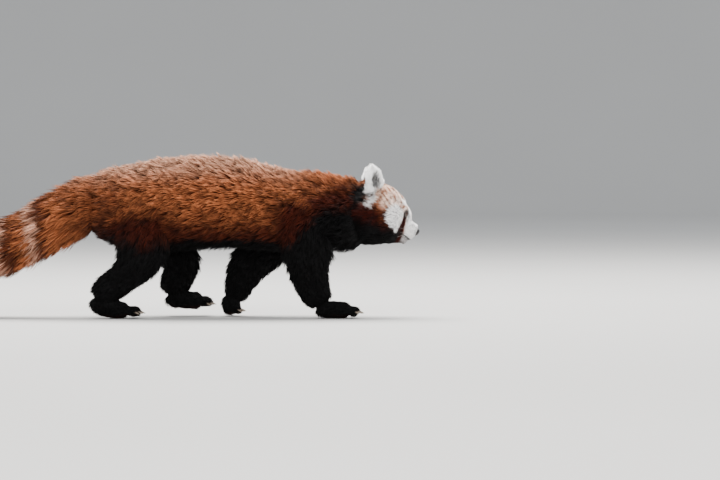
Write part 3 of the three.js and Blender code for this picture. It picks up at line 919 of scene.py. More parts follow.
@dataclass
class Markings:
    """Where each pigment lies, as the photo and the species show it."""

    cheek: Patch = Patch(26.0, 2.0, 18.0, 20.0)
    cheek_tip: Patch = Patch(37.0, -13.0, 6.0, 9.0)
    # The black behind the ears: dark fur, with painted shadow behind each ear.
    nape_patch: Patch = Patch(-46.0, 16.0, 15.0, 30.0)
    ear_tuft: Patch = Patch(-23.0, 11.0, 6.0, 14.0)
    rings: tuple = (103.0, 56.0, 17.0)
    belly_line: tuple = (
        (-260, 150),
        (-200, 140),
        (-140, 130),
        (-90, 141),
        (0, 145),
        (50, 142),
        (92, 130),
        (116, 136),
        (130, 160),
        (150, 182),
        (190, 188),
        (215, 184),
        (250, 150),
        (300, 126),
    )
    shoulder: tuple = (118.0, 62.0)

    def belly(self, points: np.ndarray) -> np.ndarray:
        """How far each place lies in the black of the legs, chest and belly."""
        line = np.array(self.belly_line, float)
        height = np.interp(points[:, 0], line[:, 0], line[:, 1]) + 5 * waves(points, 26, 3)
        height += 10 * ease(np.abs(points[:, 1]), 44, 20) * ease(points[:, 2], 190, 150)
        soft = 16 * ease(points[:, 0], -70, -125) + 12 * ease(points[:, 0], 80, 130)
        return ease(points[:, 2], height + 5 + soft, height - 7 - 0.5 * soft)

    def tail(self, points: np.ndarray) -> tuple[np.ndarray, np.ndarray]:
        """The pale and the dark rings of the tail.

        Args:
            points: Places, in the plan's millimetres.

        Returns:
            How pale and how dark each place is.
        """
        first, pitch, width = self.rings
        along = -225 - points[:, 0] + 4 * waves(points, 40, 8)
        phase = (along - first) % pitch
        ring = ease(phase, 0, 9) * ease(phase, width + 10, width) * (along > first - 8)
        dark = ease(phase, pitch - 22, pitch - 6) * (along > 60) + ease(phase, 8, 0) * (along > first)
        tip = ease(along, 352, 372)
        return ring * (1 - tip), np.clip(dark + tip, 0, 1)

    def face(self, local: np.ndarray) -> tuple[np.ndarray, np.ndarray, np.ndarray, np.ndarray]:
        """The markings of the head.

        Args:
            local: Places in the head's axes.

        Returns:
            How black, white, buff and deep red each place is.
        """
        f, s, u = local[:, 0], np.abs(local[:, 1]), local[:, 2]
        rough = waves(local, 12, 5)
        fleck = ease(waves(local, 7, 15), -0.9, 0.5)
        front = f + 0.3 * u
        white = ease(front + 0.7 * rough, 47.5, 52) * ease(u, -25, -21) * ease(u, 44, 30)
        patch = self.cheek.far(f + 0.18 * (u + 2), u) + 0.06 * rough
        tip = self.cheek_tip.far(f, u)
        white = np.maximum(white, ease(np.minimum(patch, tip), 1.12, 0.9) * ease(s, 14, 24))
        spot = np.hypot((f - 34) / 9, np.hypot((u - 31) / 8, (s - 18) / 8))
        white = np.maximum(white, ease(spot, 1.3, 0.8))
        white = np.maximum(white, 0.5 * ease(f, 52, 58) * ease(u, -36, -28))
        middle = ease(s, 8, 3) * ease(u, 8, 16)
        white *= 1 - 0.55 * middle
        wide = 3.8 + 2.2 * ease(u, 4, -16)
        streak = ease(np.abs(f - 44.5 + 0.12 * u) / wide, 1.35, 0.75) * ease(u, 15, 10) * ease(s, 10, 15)
        buff = ease(u + 0.25 * f, 0, 17) * ease(f, -40, -22)
        buff *= 0.20 + 0.80 * fleck
        white = np.maximum(white, 0.42 * buff * fleck * ease(f, -12, 22))
        deep = ease(u, 14, -6) * ease(f, 52, 36) * (1 - 0.4 * fleck * ease(f, -6, 10) * ease(u, -24, -10))
        deep = np.maximum(deep, ease(u, -18, -24))
        jaw = -25 + 7 * ease(f, 12, 36)
        black = ease(u + 2.5 * rough, jaw + 12, jaw - 6) * ease(f, 52, 45)
        return black, white * (1 - streak), buff * (1 - streak), np.maximum(deep, streak)

    def shaded(self, points: np.ndarray) -> np.ndarray:
        """The deep red of the lower flank, thigh, shoulder, rump and side of the neck: the coat's own darker
        red, with painted shade low on the flank and at the back of the rump where the tail meets it.
        """
        x, z = points[:, 0], points[:, 2] + 6 * waves(points, 30, 9)
        middle, reach = self.shoulder
        # Lower flank: the coat's own darker red, deepened further as painted shade towards the bottom of the
        # flank.
        low = 0.92 * ease(z, 200, 146)
        thigh = 0.97 * ease(x, -60, -125) * ease(z, 212, 160)
        shoulder = 0.97 * ease(np.abs(x - middle) / reach, 1.2, 0.3) * ease(z, 222, 180)
        # Painted shade on the back of the rump, where the tail meets it.
        rump = 0.7 * ease(x, -160, -205) * ease(z, 245, 200)
        neck = 0.97 * ease(x, 105, 150) * ease(z, 236, 212)
        return np.max([low, thigh, shoulder, rump, neck], axis=0)

    def nape(self, local: np.ndarray) -> np.ndarray:
        """How far each place, in the head's axes, lies in the black behind the ears: dark fur, with painted
        shadow behind each ear.
        """
        away = self.nape_patch.far(local[:, 0], local[:, 2])
        return ease(away + 0.1 * waves(local, 12, 6), 1.25, 0.75) * ease(np.abs(local[:, 1]), 4, 18)

    def ear(self, points: np.ndarray, side: int) -> tuple[np.ndarray, np.ndarray]:
        """The markings of one ear.

        Args:
            points: Places, in the plan's millimetres.
            side: 1 for the left ear, -1 for the right.

        Returns:
            How far each place is on the ear, and how white it is there.
        """
        own = FACE.ear_into(points, side)
        on_ear = ease(own[:, 2], -4, 3) * (np.abs(own[:, 1]) < 26) * (np.abs(own[:, 0] - 2) < 14)
        rim = np.hypot(own[:, 1] / 15.0, (own[:, 2] - 15) / 21.0) + 0.12 * waves(own, 6, 16)
        cup = ease(rim, 0.98, 0.45) * ease(own[:, 0], -6, -1)
        # The back of the ear is dark fur; its foot is dark fur with painted shadow behind the ear.
        back = ease(own[:, 0], -4, -8) * ease(own[:, 2], 34, 14)
        foot = ease(own[:, 0], -2, -7) * ease(own[:, 2], 12, 2)
        dark = ease(np.maximum(back, foot), 0.3, 0.6)
        return on_ear, np.clip(1 - cup * 0.86 - dark, 0, 1)

    def at(self, points: np.ndarray, normals: np.ndarray, shares: np.ndarray) -> np.ndarray:
        """Mix the pigments at places of the skin.

        Args:
            points: The places, in the plan's millimetres.
            normals: The skin's normals there.
            shares: How far each place belongs to each part.

        Returns:
            How black, white, buff and deep red each place is.
        """
        local = HEAD.into(points)
        on_head = np.clip(shares[:, 4] + shares[:, 5], 0, 1)
        off_tail = 1 - shares[:, 1]
        sole = 0.25 * shares[:, 3] * ease(normals[:, 2], -0.5, -0.9)
        black = self.belly(points) * off_tail * (1 - sole)
        pale_ring, dark_ring = self.tail(points)
        on_tail = shares[:, 1] * ease(points[:, 0], -240, -262)
        buff = 0.30 * on_tail * pale_ring
        # The deep red carries painted shade on the lower flank and the back of the rump.
        deep = np.max([0.8 * on_tail * dark_ring, self.shaded(points) * off_tail], axis=0)
        black_h, white_h, buff_h, deep_h = self.face(local)
        black = black * (1 - on_head) + black_h * on_head
        black = np.maximum(black, self.nape(local))
        white = white_h * on_head
        buff = buff * (1 - on_head) + buff_h * on_head
        deep = deep * (1 - on_head) + deep_h * on_head
        for side in SIDES.values():
            on_ear, ear_white = self.ear(points, side)
            white = white * (1 - on_ear) + ear_white * on_ear
            black = black * (1 - on_ear) + on_ear
            buff = buff * (1 - on_ear)
            tuft = self.ear_tuft.far(local[:, 0] - 0.12 * (local[:, 2] - 12), local[:, 2])
            white = np.maximum(white, ease(tuft, 1.1, 0.7) * (local[:, 1] * side > 34))
        return np.clip(np.stack([black, white, buff, deep], axis=1), 0, 1)


@dataclass
class Skin:
    """The one skin under the coat, from nose to tail."""

    voxel: float = 2.7
    spacing: float = 6.0
    segments: int = 32
    smoothing: int = 9
    sole_gap: float = 1.2
    socket_depth: float = 0.9
    lip_depth: float = 1.6

    def add_ball(self, centre: np.ndarray, sizes: tuple, axes: np.ndarray) -> bpy.types.Object:
        """Add an oval.

        Args:
            centre: Its middle, in the plan's millimetres.
            sizes: Its half sizes along its own axes.
            axes: Those axes, as columns.

        Returns:
            The oval.
        """
        deselect_all()
        bpy.ops.mesh.primitive_uv_sphere_add(
            segments=self.segments,
            ring_count=self.segments // 2,
            radius=1.0,
            location=tuple(place(centre)),
            rotation=tuple(Matrix([list(row) for row in axes]).to_euler()),
            scale=tuple(float(size) * MM for size in sizes),
        )
        return settle(bpy.context.active_object, "oval")

    def add_tube(self, tube: Tube, out: Callable | None = None) -> bpy.types.Object:
        """Draw a ball out along a stretch of the body.

        Args:
            tube: The stretch.
            out: Turns its places into the animal's axes, if they are not.

        Returns:
            The drawn-out ball, closed and round at both ends.
        """
        length = np.linalg.norm(np.diff(np.array(tube.stations)[:, :3], axis=0), axis=1).sum()
        rings = max(24, int(length / self.spacing))
        deselect_all()
        bpy.ops.mesh.primitive_uv_sphere_add(segments=self.segments, ring_count=rings, radius=1.0)
        piece = bpy.context.active_object
        ball = coords(piece.data)
        row = np.rint(np.arccos(np.clip(ball[:, 2], -1, 1)) / math.pi * rings).astype(int)
        turn = ball[:, :2] / np.maximum(np.linalg.norm(ball[:, :2], axis=1, keepdims=True), 1e-3)
        centres, sizes, along = tube.sample(rings + 1)
        sizes = tube.skin_sizes(sizes) * tube.rounded(rings + 1)[:, None]
        over = unit(np.cross(along, ACROSS))
        aside = np.cross(over, along)
        spots = centres[row] + over[row] * (sizes[row, 0] * turn[:, 0])[:, None]
        spots += aside[row] * (sizes[row, 1] * turn[:, 1])[:, None]
        set_coords(piece.data, place(spots if out is None else out(spots)))
        return piece

    def add_head(self) -> list[bpy.types.Object]:
        """Add the skull, bridge, brows, cheeks, muzzle and jaw."""
        turn = HEAD.turn()
        made = []
        for (centre, sizes, coat), sides in (
            (FACE.skull, (1,)),
            (FACE.bridge, (1,)),
            (FACE.cheek, (1, -1)),
            (FACE.brow, (1, -1)),
        ):
            for side in sides:
                middle = HEAD.out(FACE.mirrored(centre, side))
                made.append(self.add_ball(middle, tuple(np.array(sizes) - coat), turn))
        made.append(self.add_tube(Tube(Part.HEAD, FACE.muzzle, FACE.muzzle_coat), HEAD.out))
        made.append(self.add_tube(Tube(Part.HEAD, FACE.jaw, FACE.jaw_coat), HEAD.out))
        return made

    def add_ear(self, side: int) -> bpy.types.Object:
        """Add one ear with its cup cut out.

        Args:
            side: 1 for the left ear, -1 for the right.

        Returns:
            The ear.
        """
        shell = self.add_tube(Tube(Part.EAR, FACE.ear_shell, FACE.ear_coat), partial(FACE.ear_out, side=side))
        centre, sizes = FACE.ear_cup
        axes = HEAD.turn() @ FACE.ear_axes(side)
        cup = self.add_ball(FACE.ear_out(np.array(centre), side), sizes, axes)
        self.face_outward(shell)
        apply_modifier(shell, "BOOLEAN", operation="DIFFERENCE", object=cup, solver="EXACT")
        bpy.data.objects.remove(cup)
        return shell

    def face_outward(self, piece: bpy.types.Object) -> None:
        """Turn every face of a closed piece outward."""
        choose(piece)
        bpy.ops.object.mode_set(mode="EDIT")
        bpy.ops.mesh.select_all(action="SELECT")
        bpy.ops.mesh.normals_make_consistent(inside=False)
        bpy.ops.object.mode_set(mode="OBJECT")

    def build(self) -> bpy.types.Object:
        """Make the skin in one piece.

        Returns:
            The skin.
        """
        made = [self.add_tube(tube) for tube in PLAN.tubes()]
        made += self.add_head()
        made += [self.add_ear(side) for side in SIDES.values()]
        body = made[0]
        choose(body)
        for piece in made:
            piece.select_set(True)
        bpy.ops.object.join()
        settle(body, "panda_skin")
        self.face_outward(body)
        apply_modifier(body, "REMESH", mode="VOXEL", voxel_size=self.voxel * MM)
        apply_modifier(body, "SMOOTH", factor=0.5, iterations=self.smoothing)
        self.shape_face(body)
        self.flatten_soles(body)
        choose(body)
        bpy.ops.object.shade_smooth()
        self.unwrap(body)
        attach(body, "root")
        flesh = ["torso", "neck", "head", "tail", "ear_left", "ear_right"]
        for limb in LIMBS:
            flesh += [f"leg_{limb}", f"paw_{limb}"]
        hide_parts(*flesh)
        return body

    def shape_face(self, body: bpy.types.Object) -> None:
        """Sink the eyes' sockets, draw in the line of the mouth and raise the brow over each eye."""
        places = coords(body.data) / MM - SHIFT
        local = HEAD.into(places)
        moved = local.copy()
        for side in SIDES.values():
            eye, look = FACE.gaze(side)
            gap = local - eye
            ahead = gap @ look
            away = np.linalg.norm(gap - np.outer(ahead, look), axis=1)
            socket = ease(away, 9.0, 5.0) * (ahead > 0)
            moved -= np.outer(socket * np.maximum(ahead - 0.5, 0) * self.socket_depth, look)
            fold = np.exp(-(((away - 10.5) / 2.6) ** 2)) * (ahead > 0)
            moved += np.outer(fold * (0.7 + 0.9 * ease(gap[:, 2], 0, 7)), look)
        groove = FACE.lip_share(local, 3.6)
        inward = unit(local * np.array([0.25, 1.0, 0.0]) - np.array([14.0, 0.0, 0.0]))
        moved -= inward * (groove * self.lip_depth)[:, None]
        set_coords(body.data, place(HEAD.out(moved)))

    def flatten_soles(self, body: bpy.types.Object) -> None:
        """Rest the planted paws on the floor, with room for the fur under them."""
        places = coords(body.data)
        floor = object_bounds()[0][2] + self.sole_gap * MM
        places[:, 2] = np.maximum(places[:, 2], floor)
        set_coords(body.data, places)

    def unwrap(self, body: bpy.types.Object) -> None:
        """Lay the skin's own shape out flat for its finish to be baked on."""
        choose(body)
        body.data.uv_layers.new(name="OFBake")
        bpy.ops.object.mode_set(mode="EDIT")
        bpy.ops.mesh.select_all(action="SELECT")
        bpy.ops.uv.smart_project(angle_limit=math.radians(66), island_margin=0.003)
        bpy.ops.object.mode_set(mode="OBJECT")


@dataclass(frozen=True)
class TuftStyle:
    """How one stretch of coat is set with tufts."""

    name: str
    count: int
    rings: int
    slot: str
    gather: float = 0.5
    together: int = 9


@dataclass
class Coat:
    """All the fur: thin, tapered solid tufts that overlap along the body.

    A wave is its share, the size of its bumps in millimetres and its seed.
    """

    skin: bpy.types.Object
    coat_map: CoatMap
    markings: Markings
    seed: int = 7
    patch: float = 0.003
    evening: int = 14
    sway_waves: tuple = ((0.24, 12, 21), (0.22, 8, 22))
    sway_chance: float = 0.14
    length_spread: tuple = (0.74, 1.16)
    length_wave: tuple = (0.10, 12, 23)
    lift_wave: tuple = (0.34, 10, 24)
    lift_chance: float = 0.14
    width_least: float = 0.42
    width_gain: float = 0.023
    width_spread: tuple = (0.75, 1.25)
    curl: float = 0.35
    rise: float = 0.7
    bow: float = 0.30
    root_depth: float = 0.8
    shade_wave: tuple = (0.20, 9, 31)
    # How strongly the painted sky light shows on the tips along the top of the back.
    sky_sheen: float = 0.5
    stray: float = 0.09
    sole_gap: float = 0.3
    neck_from: float = 85.0
    rump_from: float = -85.0
    face_from: float = 4.0
    places: np.ndarray = field(init=False)
    normals: np.ndarray = field(init=False)
    corners: np.ndarray = field(init=False)
    layout: np.ndarray = field(init=False)
    areas: np.ndarray = field(init=False)
    fields: Fields = field(init=False)

    def read_skin(self) -> None:
        """Read the skin's triangles, normals and layout into arrays."""
        mesh = self.skin.data
        mesh.calc_loop_triangles()
        count = len(mesh.loop_triangles)
        corners = np.empty(count * 3, np.int32)
        loops = np.empty(count * 3, np.int32)
        mesh.loop_triangles.foreach_get("vertices", corners)
        mesh.loop_triangles.foreach_get("loops", loops)
        normals = np.empty(len(mesh.vertices) * 3, np.float32)
        mesh.vertices.foreach_get("normal", normals)
        layout = np.empty(len(mesh.loops) * 2, np.float32)
        mesh.uv_layers["OFBake"].data.foreach_get("uv", layout)
        self.places = coords(mesh) / MM - SHIFT
        self.normals = normals.reshape(-1, 3).astype(float)
        self.corners = corners.reshape(-1, 3)
        self.layout = layout.reshape(-1, 2)[loops].reshape(-1, 3, 2)
        edge_a = self.places[self.corners[:, 1]] - self.places[self.corners[:, 0]]
        edge_b = self.places[self.corners[:, 2]] - self.places[self.corners[:, 0]]
        self.areas = np.linalg.norm(np.cross(edge_a, edge_b), axis=1) / 2

    def find_fields(self) -> None:
        """Find the coat's fields on the skin and even them out between the stretches."""
        self.fields = self.coat_map.at(self.places, self.normals)
        ends = np.empty(len(self.skin.data.edges) * 2, np.int32)
        self.skin.data.edges.foreach_get("vertices", ends)
        a, b = ends.reshape(-1, 2).T
        degree = np.bincount(np.concatenate([a, b]), minlength=len(self.places)).astype(float)[:, None]
        stack = np.column_stack([self.fields.lie, self.fields.length, self.fields.lift, self.fields.part])
        for _ in range(self.evening):
            total = np.stack([self.gather(a, b, column) for column in stack.T], axis=1)
            stack = 0.4 * stack + 0.6 * total / np.maximum(degree, 1)
        self.fields.lie = unit(stack[:, :3])
        self.fields.length = stack[:, 3]
        self.fields.lift = stack[:, 4]
        self.fields.part = stack[:, 5:]
        pigment = self.markings.at(self.places, self.normals, self.fields.part)
        store_colour(self.skin.data, "pigment", pigment)

    def gather(self, a: np.ndarray, b: np.ndarray, values: np.ndarray) -> np.ndarray:
        """Add up each vertex's neighbours' values, over the edges from a to b."""
        count = len(values)
        return np.bincount(a, values[b], count) + np.bincount(b, values[a], count)

    def bare(self, points: np.ndarray) -> np.ndarray:
        """Where no fur grows: the nose, the eyes and the lips."""
        local = HEAD.into(points)
        nose = np.linalg.norm((local - np.array(FACE.nose)) / (np.array(FACE.nose_size) + 1.2), axis=1) < 1
        bald = nose | (FACE.lip_share(local, 3.0) > 0.35)
        for side in SIDES.values():
            bald |= np.linalg.norm(local - FACE.gaze(side)[0], axis=1) < FACE.eye_radius + 1.6
        return bald

    def take_roots(self, chance: np.random.Generator, wanted: np.ndarray, count: int) -> dict:
        """Spread roots evenly over part of the skin.

        Args:
            chance: The source of random numbers.
            wanted: How thickly each triangle is set.
            count: How many roots to take.

        Returns:
            The roots' places, normals, fields, pigments and places on the layout.
        """
        total = np.cumsum(wanted * self.areas)
        picks = (np.arange(count) + chance.random(count)) / count * total[-1]
        chosen = np.minimum(np.searchsorted(total, picks), len(total) - 1)
        a, b = np.sqrt(chance.random(count)), chance.random(count)
        shares = np.stack([1 - a, a * (1 - b), a * b], axis=1)
        corners = self.corners[chosen]

        def blend(values: np.ndarray) -> np.ndarray:
            """Interpolate a value of the vertices at the roots."""
            return np.einsum("nk,nk...->n...", shares, values[corners])

        roots = {
            "place": blend(self.places),
            "normal": unit(blend(self.normals)),
            "lie": blend(self.fields.lie),
            "length": blend(self.fields.length),
            "lift": blend(self.fields.lift),
            "part": blend(self.fields.part),
            "uv": np.einsum("nk,nkc->nc", shares, self.layout[chosen]),
        }
        keep = ~self.bare(roots["place"])
        return {name: values[keep] for name, values in roots.items()}

    def wave(self, spot: np.ndarray, wave: tuple) -> np.ndarray:
        """One of the coat's waves at each place."""
        share, size, seed = wave
        return share * waves(spot, size, seed)

    def comb(self, roots: dict, chance: np.random.Generator) -> tuple[np.ndarray, np.ndarray]:
        """Turn each tuft a little from the way that the coat runs.

        Args:
            roots: What take_roots gave.
            chance: The source of random numbers.

        Returns:
            The way that each tuft runs along the skin, and the way across it.
        """
        spot, normal = roots["place"], roots["normal"]
        first, second = (self.wave(spot, wave) for wave in self.sway_waves)
        sway = first + second + self.sway_chance * chance.normal(size=len(spot))
        side = unit(np.cross(normal, roots["lie"]))
        lie = unit(roots["lie"] + side * sway[:, None])
        lie = unit(lie - normal * np.sum(lie * normal, axis=1, keepdims=True))
        return lie, np.cross(normal, lie)

    def tufts(self, style: TuftStyle, roots: dict, chance: np.random.Generator) -> bpy.types.Object:
        """Grow a tuft from each root and join them in one mesh.

        Args:
            style: How this stretch is set.
            roots: What take_roots gave.
            chance: The source of random numbers.

        Returns:
            The piece.
        """
        spot, normal = roots["place"], roots["normal"]
        count, rings = len(spot), style.rings
        lie, side = self.comb(roots, chance)
        length = roots["length"] * chance.uniform(*self.length_spread, count)
        length = length * (1 + self.wave(spot, self.length_wave))
        lift = 1 + self.wave(spot, self.lift_wave) + self.lift_chance * chance.normal(size=count)
        lift = roots["lift"] * lift
        width = (self.width_least + self.width_gain * length) * chance.uniform(*self.width_spread, count)
        curl = self.curl * chance.normal(size=count) * (length > 12)
        lift = np.clip(lift, 0.05, 1.2)
        far = np.sqrt(np.maximum(1 - (lift * self.rise) ** 2, 0.3)) * length
        tip = spot + lie * far[:, None] + normal * (self.rise * np.sin(lift) * length)[:, None]
        pull, group = self.clump(spot, tip, style, chance)
        wide = (1.0, 0.92, 0.6, 0.0) if rings == 3 else (1.0, 0.78, 0.0)
        verts = np.empty((count, rings * 3 + 1, 3))
        strand = np.empty((count, rings * 3 + 1, 3))
        flat = np.empty((count, rings * 3 + 1, 2))
        for ring, u in enumerate(np.linspace(0, 1, rings + 1)):
            height = np.sin(lift) * length * (u - self.bow * u * u) - self.root_depth
            drift = curl * width * 3.0 * u * u
            middle = spot + lie * (far * u)[:, None] + normal * height[:, None]
            middle = middle + side * drift[:, None] + pull * u**1.5
            half = (width * wide[ring])[:, None]
            corners = (middle - side * half, middle + normal * half * 0.7, middle + side * half)
            for k, corner in enumerate(corners if ring < rings else (middle,)):
                slot = ring * 3 + k
                across = (k - 1) * 0.5 if ring < rings else 0.0
                verts[:, slot] = corner
                strand[:, slot, 0] = u
                flat[:, slot] = roots["uv"] + self.patch * np.array([across, u - 0.5])
        # Painted sky light: tufts that face up, high on the back behind the neck, turn pale towards their
        # tips.
        high = ease(normal[:, 2], 0.25, 0.9) * ease(spot[:, 2], 215, 262) * ease(spot[:, 0], 165, 95)
        shade = 0.5 + self.wave(spot, self.shade_wave) + 0.4 * (chance.random(count) - 0.5)
        strand[:, :, 1] = np.clip(shade + 0.85 * (group - 0.5), 0, 1)[:, None]
        strand[:, :, 2] = self.sky_sheen * high[:, None] * strand[:, :, 0]
        verts[:, :, 2] = np.maximum(verts[:, :, 2], self.sole_gap - SHIFT[2])
        corners = self.tuft_triangles(rings)
        triangles = (np.arange(count)[:, None, None] * (rings * 3 + 1) + corners[None]).reshape(-1, 3)
        piece = mesh_from_arrays(style.name, place(verts.reshape(-1, 3)), triangles)
        stray = chance.normal(size=(count, 3)) * (self.stray * length)[:, None]
        pigment = self.markings.at(spot + lie * (0.45 * length)[:, None] + stray, normal, roots["part"])
        store_colour(piece.data, "pigment", np.repeat(pigment, rings * 3 + 1, axis=0))
        store_colour(piece.data, "strand", strand.reshape(-1, 3))
        layer = piece.data.uv_layers.new(name="OFBake")
        layer.data.foreach_set("uv", flat.reshape(-1, 2)[triangles.ravel()].astype(np.float32).ravel())
        return piece

    def clump(
        self, spot: np.ndarray, tip: np.ndarray, style: TuftStyle, chance: np.random.Generator
    ) -> tuple[np.ndarray, np.ndarray]:
        """Draw the tips of neighbouring tufts together.

        Args:
            spot: The tufts' roots.
            tip: Their tips.
            style: How many stand together, and how closely.
            chance: The source of random numbers.

        Returns:
            How far each tip moves, and a random value that each clump shares.
        """
        picked = chance.permutation(len(spot))[: max(len(spot) // style.together, 1)]
        tree = KDTree(len(picked))
        for number, index in enumerate(picked):
            tree.insert(Vector(spot[index]), number)
        tree.balance()
        group = np.array([tree.find(Vector(point))[1] for point in spot])
        pull = tip[picked[group]] - tip
        near = ease(np.linalg.norm(spot[picked[group]] - spot, axis=1), 11, 5)
        firm = style.gather * chance.uniform(0.5, 1.3, len(picked))[group] * near
        return pull * firm[:, None], chance.random(len(picked))[group]

    def tuft_triangles(self, rings: int) -> np.ndarray:
        """The corners of one closed tuft, as rows of three."""
        rows = [(0, 2, 1)]
        for ring in range(rings):
            for k in range(3):
                a, b = ring * 3 + k, ring * 3 + (k + 1) % 3
                if ring < rings - 1:
                    rows += [(a, b, a + 3), (b, b + 3, a + 3)]
                else:
                    rows.append((a, b, rings * 3))
        return np.array(rows)

    def build(self, finish: bpy.types.Material) -> list[bpy.types.Object]:
        """Grow the whole coat.

        Args:
            finish: The fur's material.

        Returns:
            The coat's pieces.
        """
        self.read_skin()
        self.find_fields()
        centre = self.places[self.corners].mean(axis=1)
        share = self.fields.part[self.corners].mean(axis=1)
        local = HEAD.into(centre)
        seen = 1 - 0.5 * ease(centre[:, 2], 140, 110)
        trunk = share[:, 0] * seen
        front, back = centre[:, 0] > self.neck_from, centre[:, 0] <= self.rump_from
        face = local[:, 0] > self.face_from
        outside = np.linalg.norm(local / 45.0, axis=1) > 0.9
        fine = 0.5 + 1.7 * ease(local[:, 0], 28, 56)
        plans = [
            (TuftStyle("coat_neck", 11800, 3, "rust_coat"), trunk * outside * front),
            (TuftStyle("coat_flank", 11800, 3, "rust_coat"), trunk * ~front * ~back),
            (TuftStyle("coat_rump", 11800, 3, "rust_coat"), trunk * back),
            (TuftStyle("coat_tail", 11800, 3, "tail_coat"), share[:, 1]),
            (TuftStyle("coat_hind_legs", 12000, 2, "black_coat"), share[:, 2] * (centre[:, 0] < 0)),
            (TuftStyle("coat_fore_legs", 12000, 2, "black_coat"), share[:, 2] * (centre[:, 0] >= 0)),
            (TuftStyle("coat_paws", 12500, 2, "black_coat", 0.3), share[:, 3]),
            (TuftStyle("coat_face", 18500, 2, "white_coat", 0.35), share[:, 4] * face * fine),
            (TuftStyle("coat_crown", 11000, 2, "rust_coat", 0.4), share[:, 4] * ~face),
            (TuftStyle("coat_ears", 8500, 2, "white_coat", 0.2), share[:, 5]),
        ]
        pieces = []
        for number, (style, wanted) in enumerate(plans):
            chance = np.random.default_rng(self.seed + number)
            roots = self.take_roots(chance, wanted, style.count)
            piece = self.tufts(style, roots, chance)
            piece.data.materials.append(finish)
            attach(piece, "root")
            LOG.info("%s: %d tufts, %d triangles", style.name, len(roots["place"]), len(piece.data.polygons))
            pieces.append(piece)
        return pieces


@dataclass
class Eyes:
    """Both eyes with their lids."""

    segments: int = 40
    lid_thick: float = 1.5

    def build(self, eye_finish: bpy.types.Material, lid_finish: bpy.types.Material) -> None:
        """Make each eye and the rim of lid around it.

        Args:
            eye_finish: The eyeball's material.
            lid_finish: The lid's material.
        """
        for name, side in SIDES.items():
            centre, look = FACE.gaze(side)
            centre, look = HEAD.out(centre), HEAD.turn() @ look
            self.ball(name, centre, look, eye_finish)
            self.lid(name, centre, look, lid_finish)

    def ball(self, name: str, centre: np.ndarray, look: np.ndarray, finish: bpy.types.Material) -> None:
        """Make one eyeball, with its clear front swelling a little."""
        deselect_all()
        bpy.ops.mesh.primitive_uv_sphere_add(
            segments=self.segments,
            ring_count=self.segments // 2,
            radius=FACE.eye_radius * MM,
            location=tuple(place(centre)),
            rotation=tuple(Vector(look).to_track_quat("Z", "Y").to_euler()),
        )
        piece = settle(bpy.context.active_object, f"eyeball_{name}")
        places = coords(piece.data)
        out = unit(places - place(centre))
        facing = out @ look
        swell = ease(facing, 0.72, 0.95) * 0.55 * MM
        set_coords(piece.data, places + out * swell[:, None])
        store_colour(piece.data, "gaze", np.repeat(np.arccos(np.clip(facing, -1, 1))[:, None], 3, axis=1))
        bpy.ops.object.shade_smooth()
        piece.data.materials.append(finish)
        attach(piece, "root")
        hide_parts(f"eye_{name}")

    def lid(self, name: str, centre: np.ndarray, look: np.ndarray, finish: bpy.types.Material) -> None:
        """Make the almond rim of one eye, drawn out to its corners."""
        deselect_all()
        spot = centre + look * FACE.eye_radius * 0.52
        bpy.ops.mesh.primitive_torus_add(
            major_segments=40,
            minor_segments=12,
            major_radius=(FACE.eye_radius - 0.7) * MM,
            minor_radius=self.lid_thick * MM,
            location=tuple(place(spot)),
            rotation=tuple(Vector(look).to_track_quat("Z", "Y").to_euler()),
        )
        piece = settle(bpy.context.active_object, f"lid_{name}")
        up = HEAD.turn() @ UP
        across = unit(np.cross(up, look))
        gap = coords(piece.data) - place(spot)
        wide, tall = gap @ across, gap @ up
        corner = np.abs(wide) / (FACE.eye_radius * MM)
        tall_moved = tall * (0.84 - 0.28 * corner**2)
        back = -look * (corner**2 * 1.1 * MM)[:, None]
        moved = gap + np.outer(tall_moved - tall, up) + np.outer(wide * 0.16, across) + back
        set_coords(piece.data, moved + place(spot))
        bpy.ops.object.shade_smooth()
        piece.data.materials.append(finish)
        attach(piece, "root")


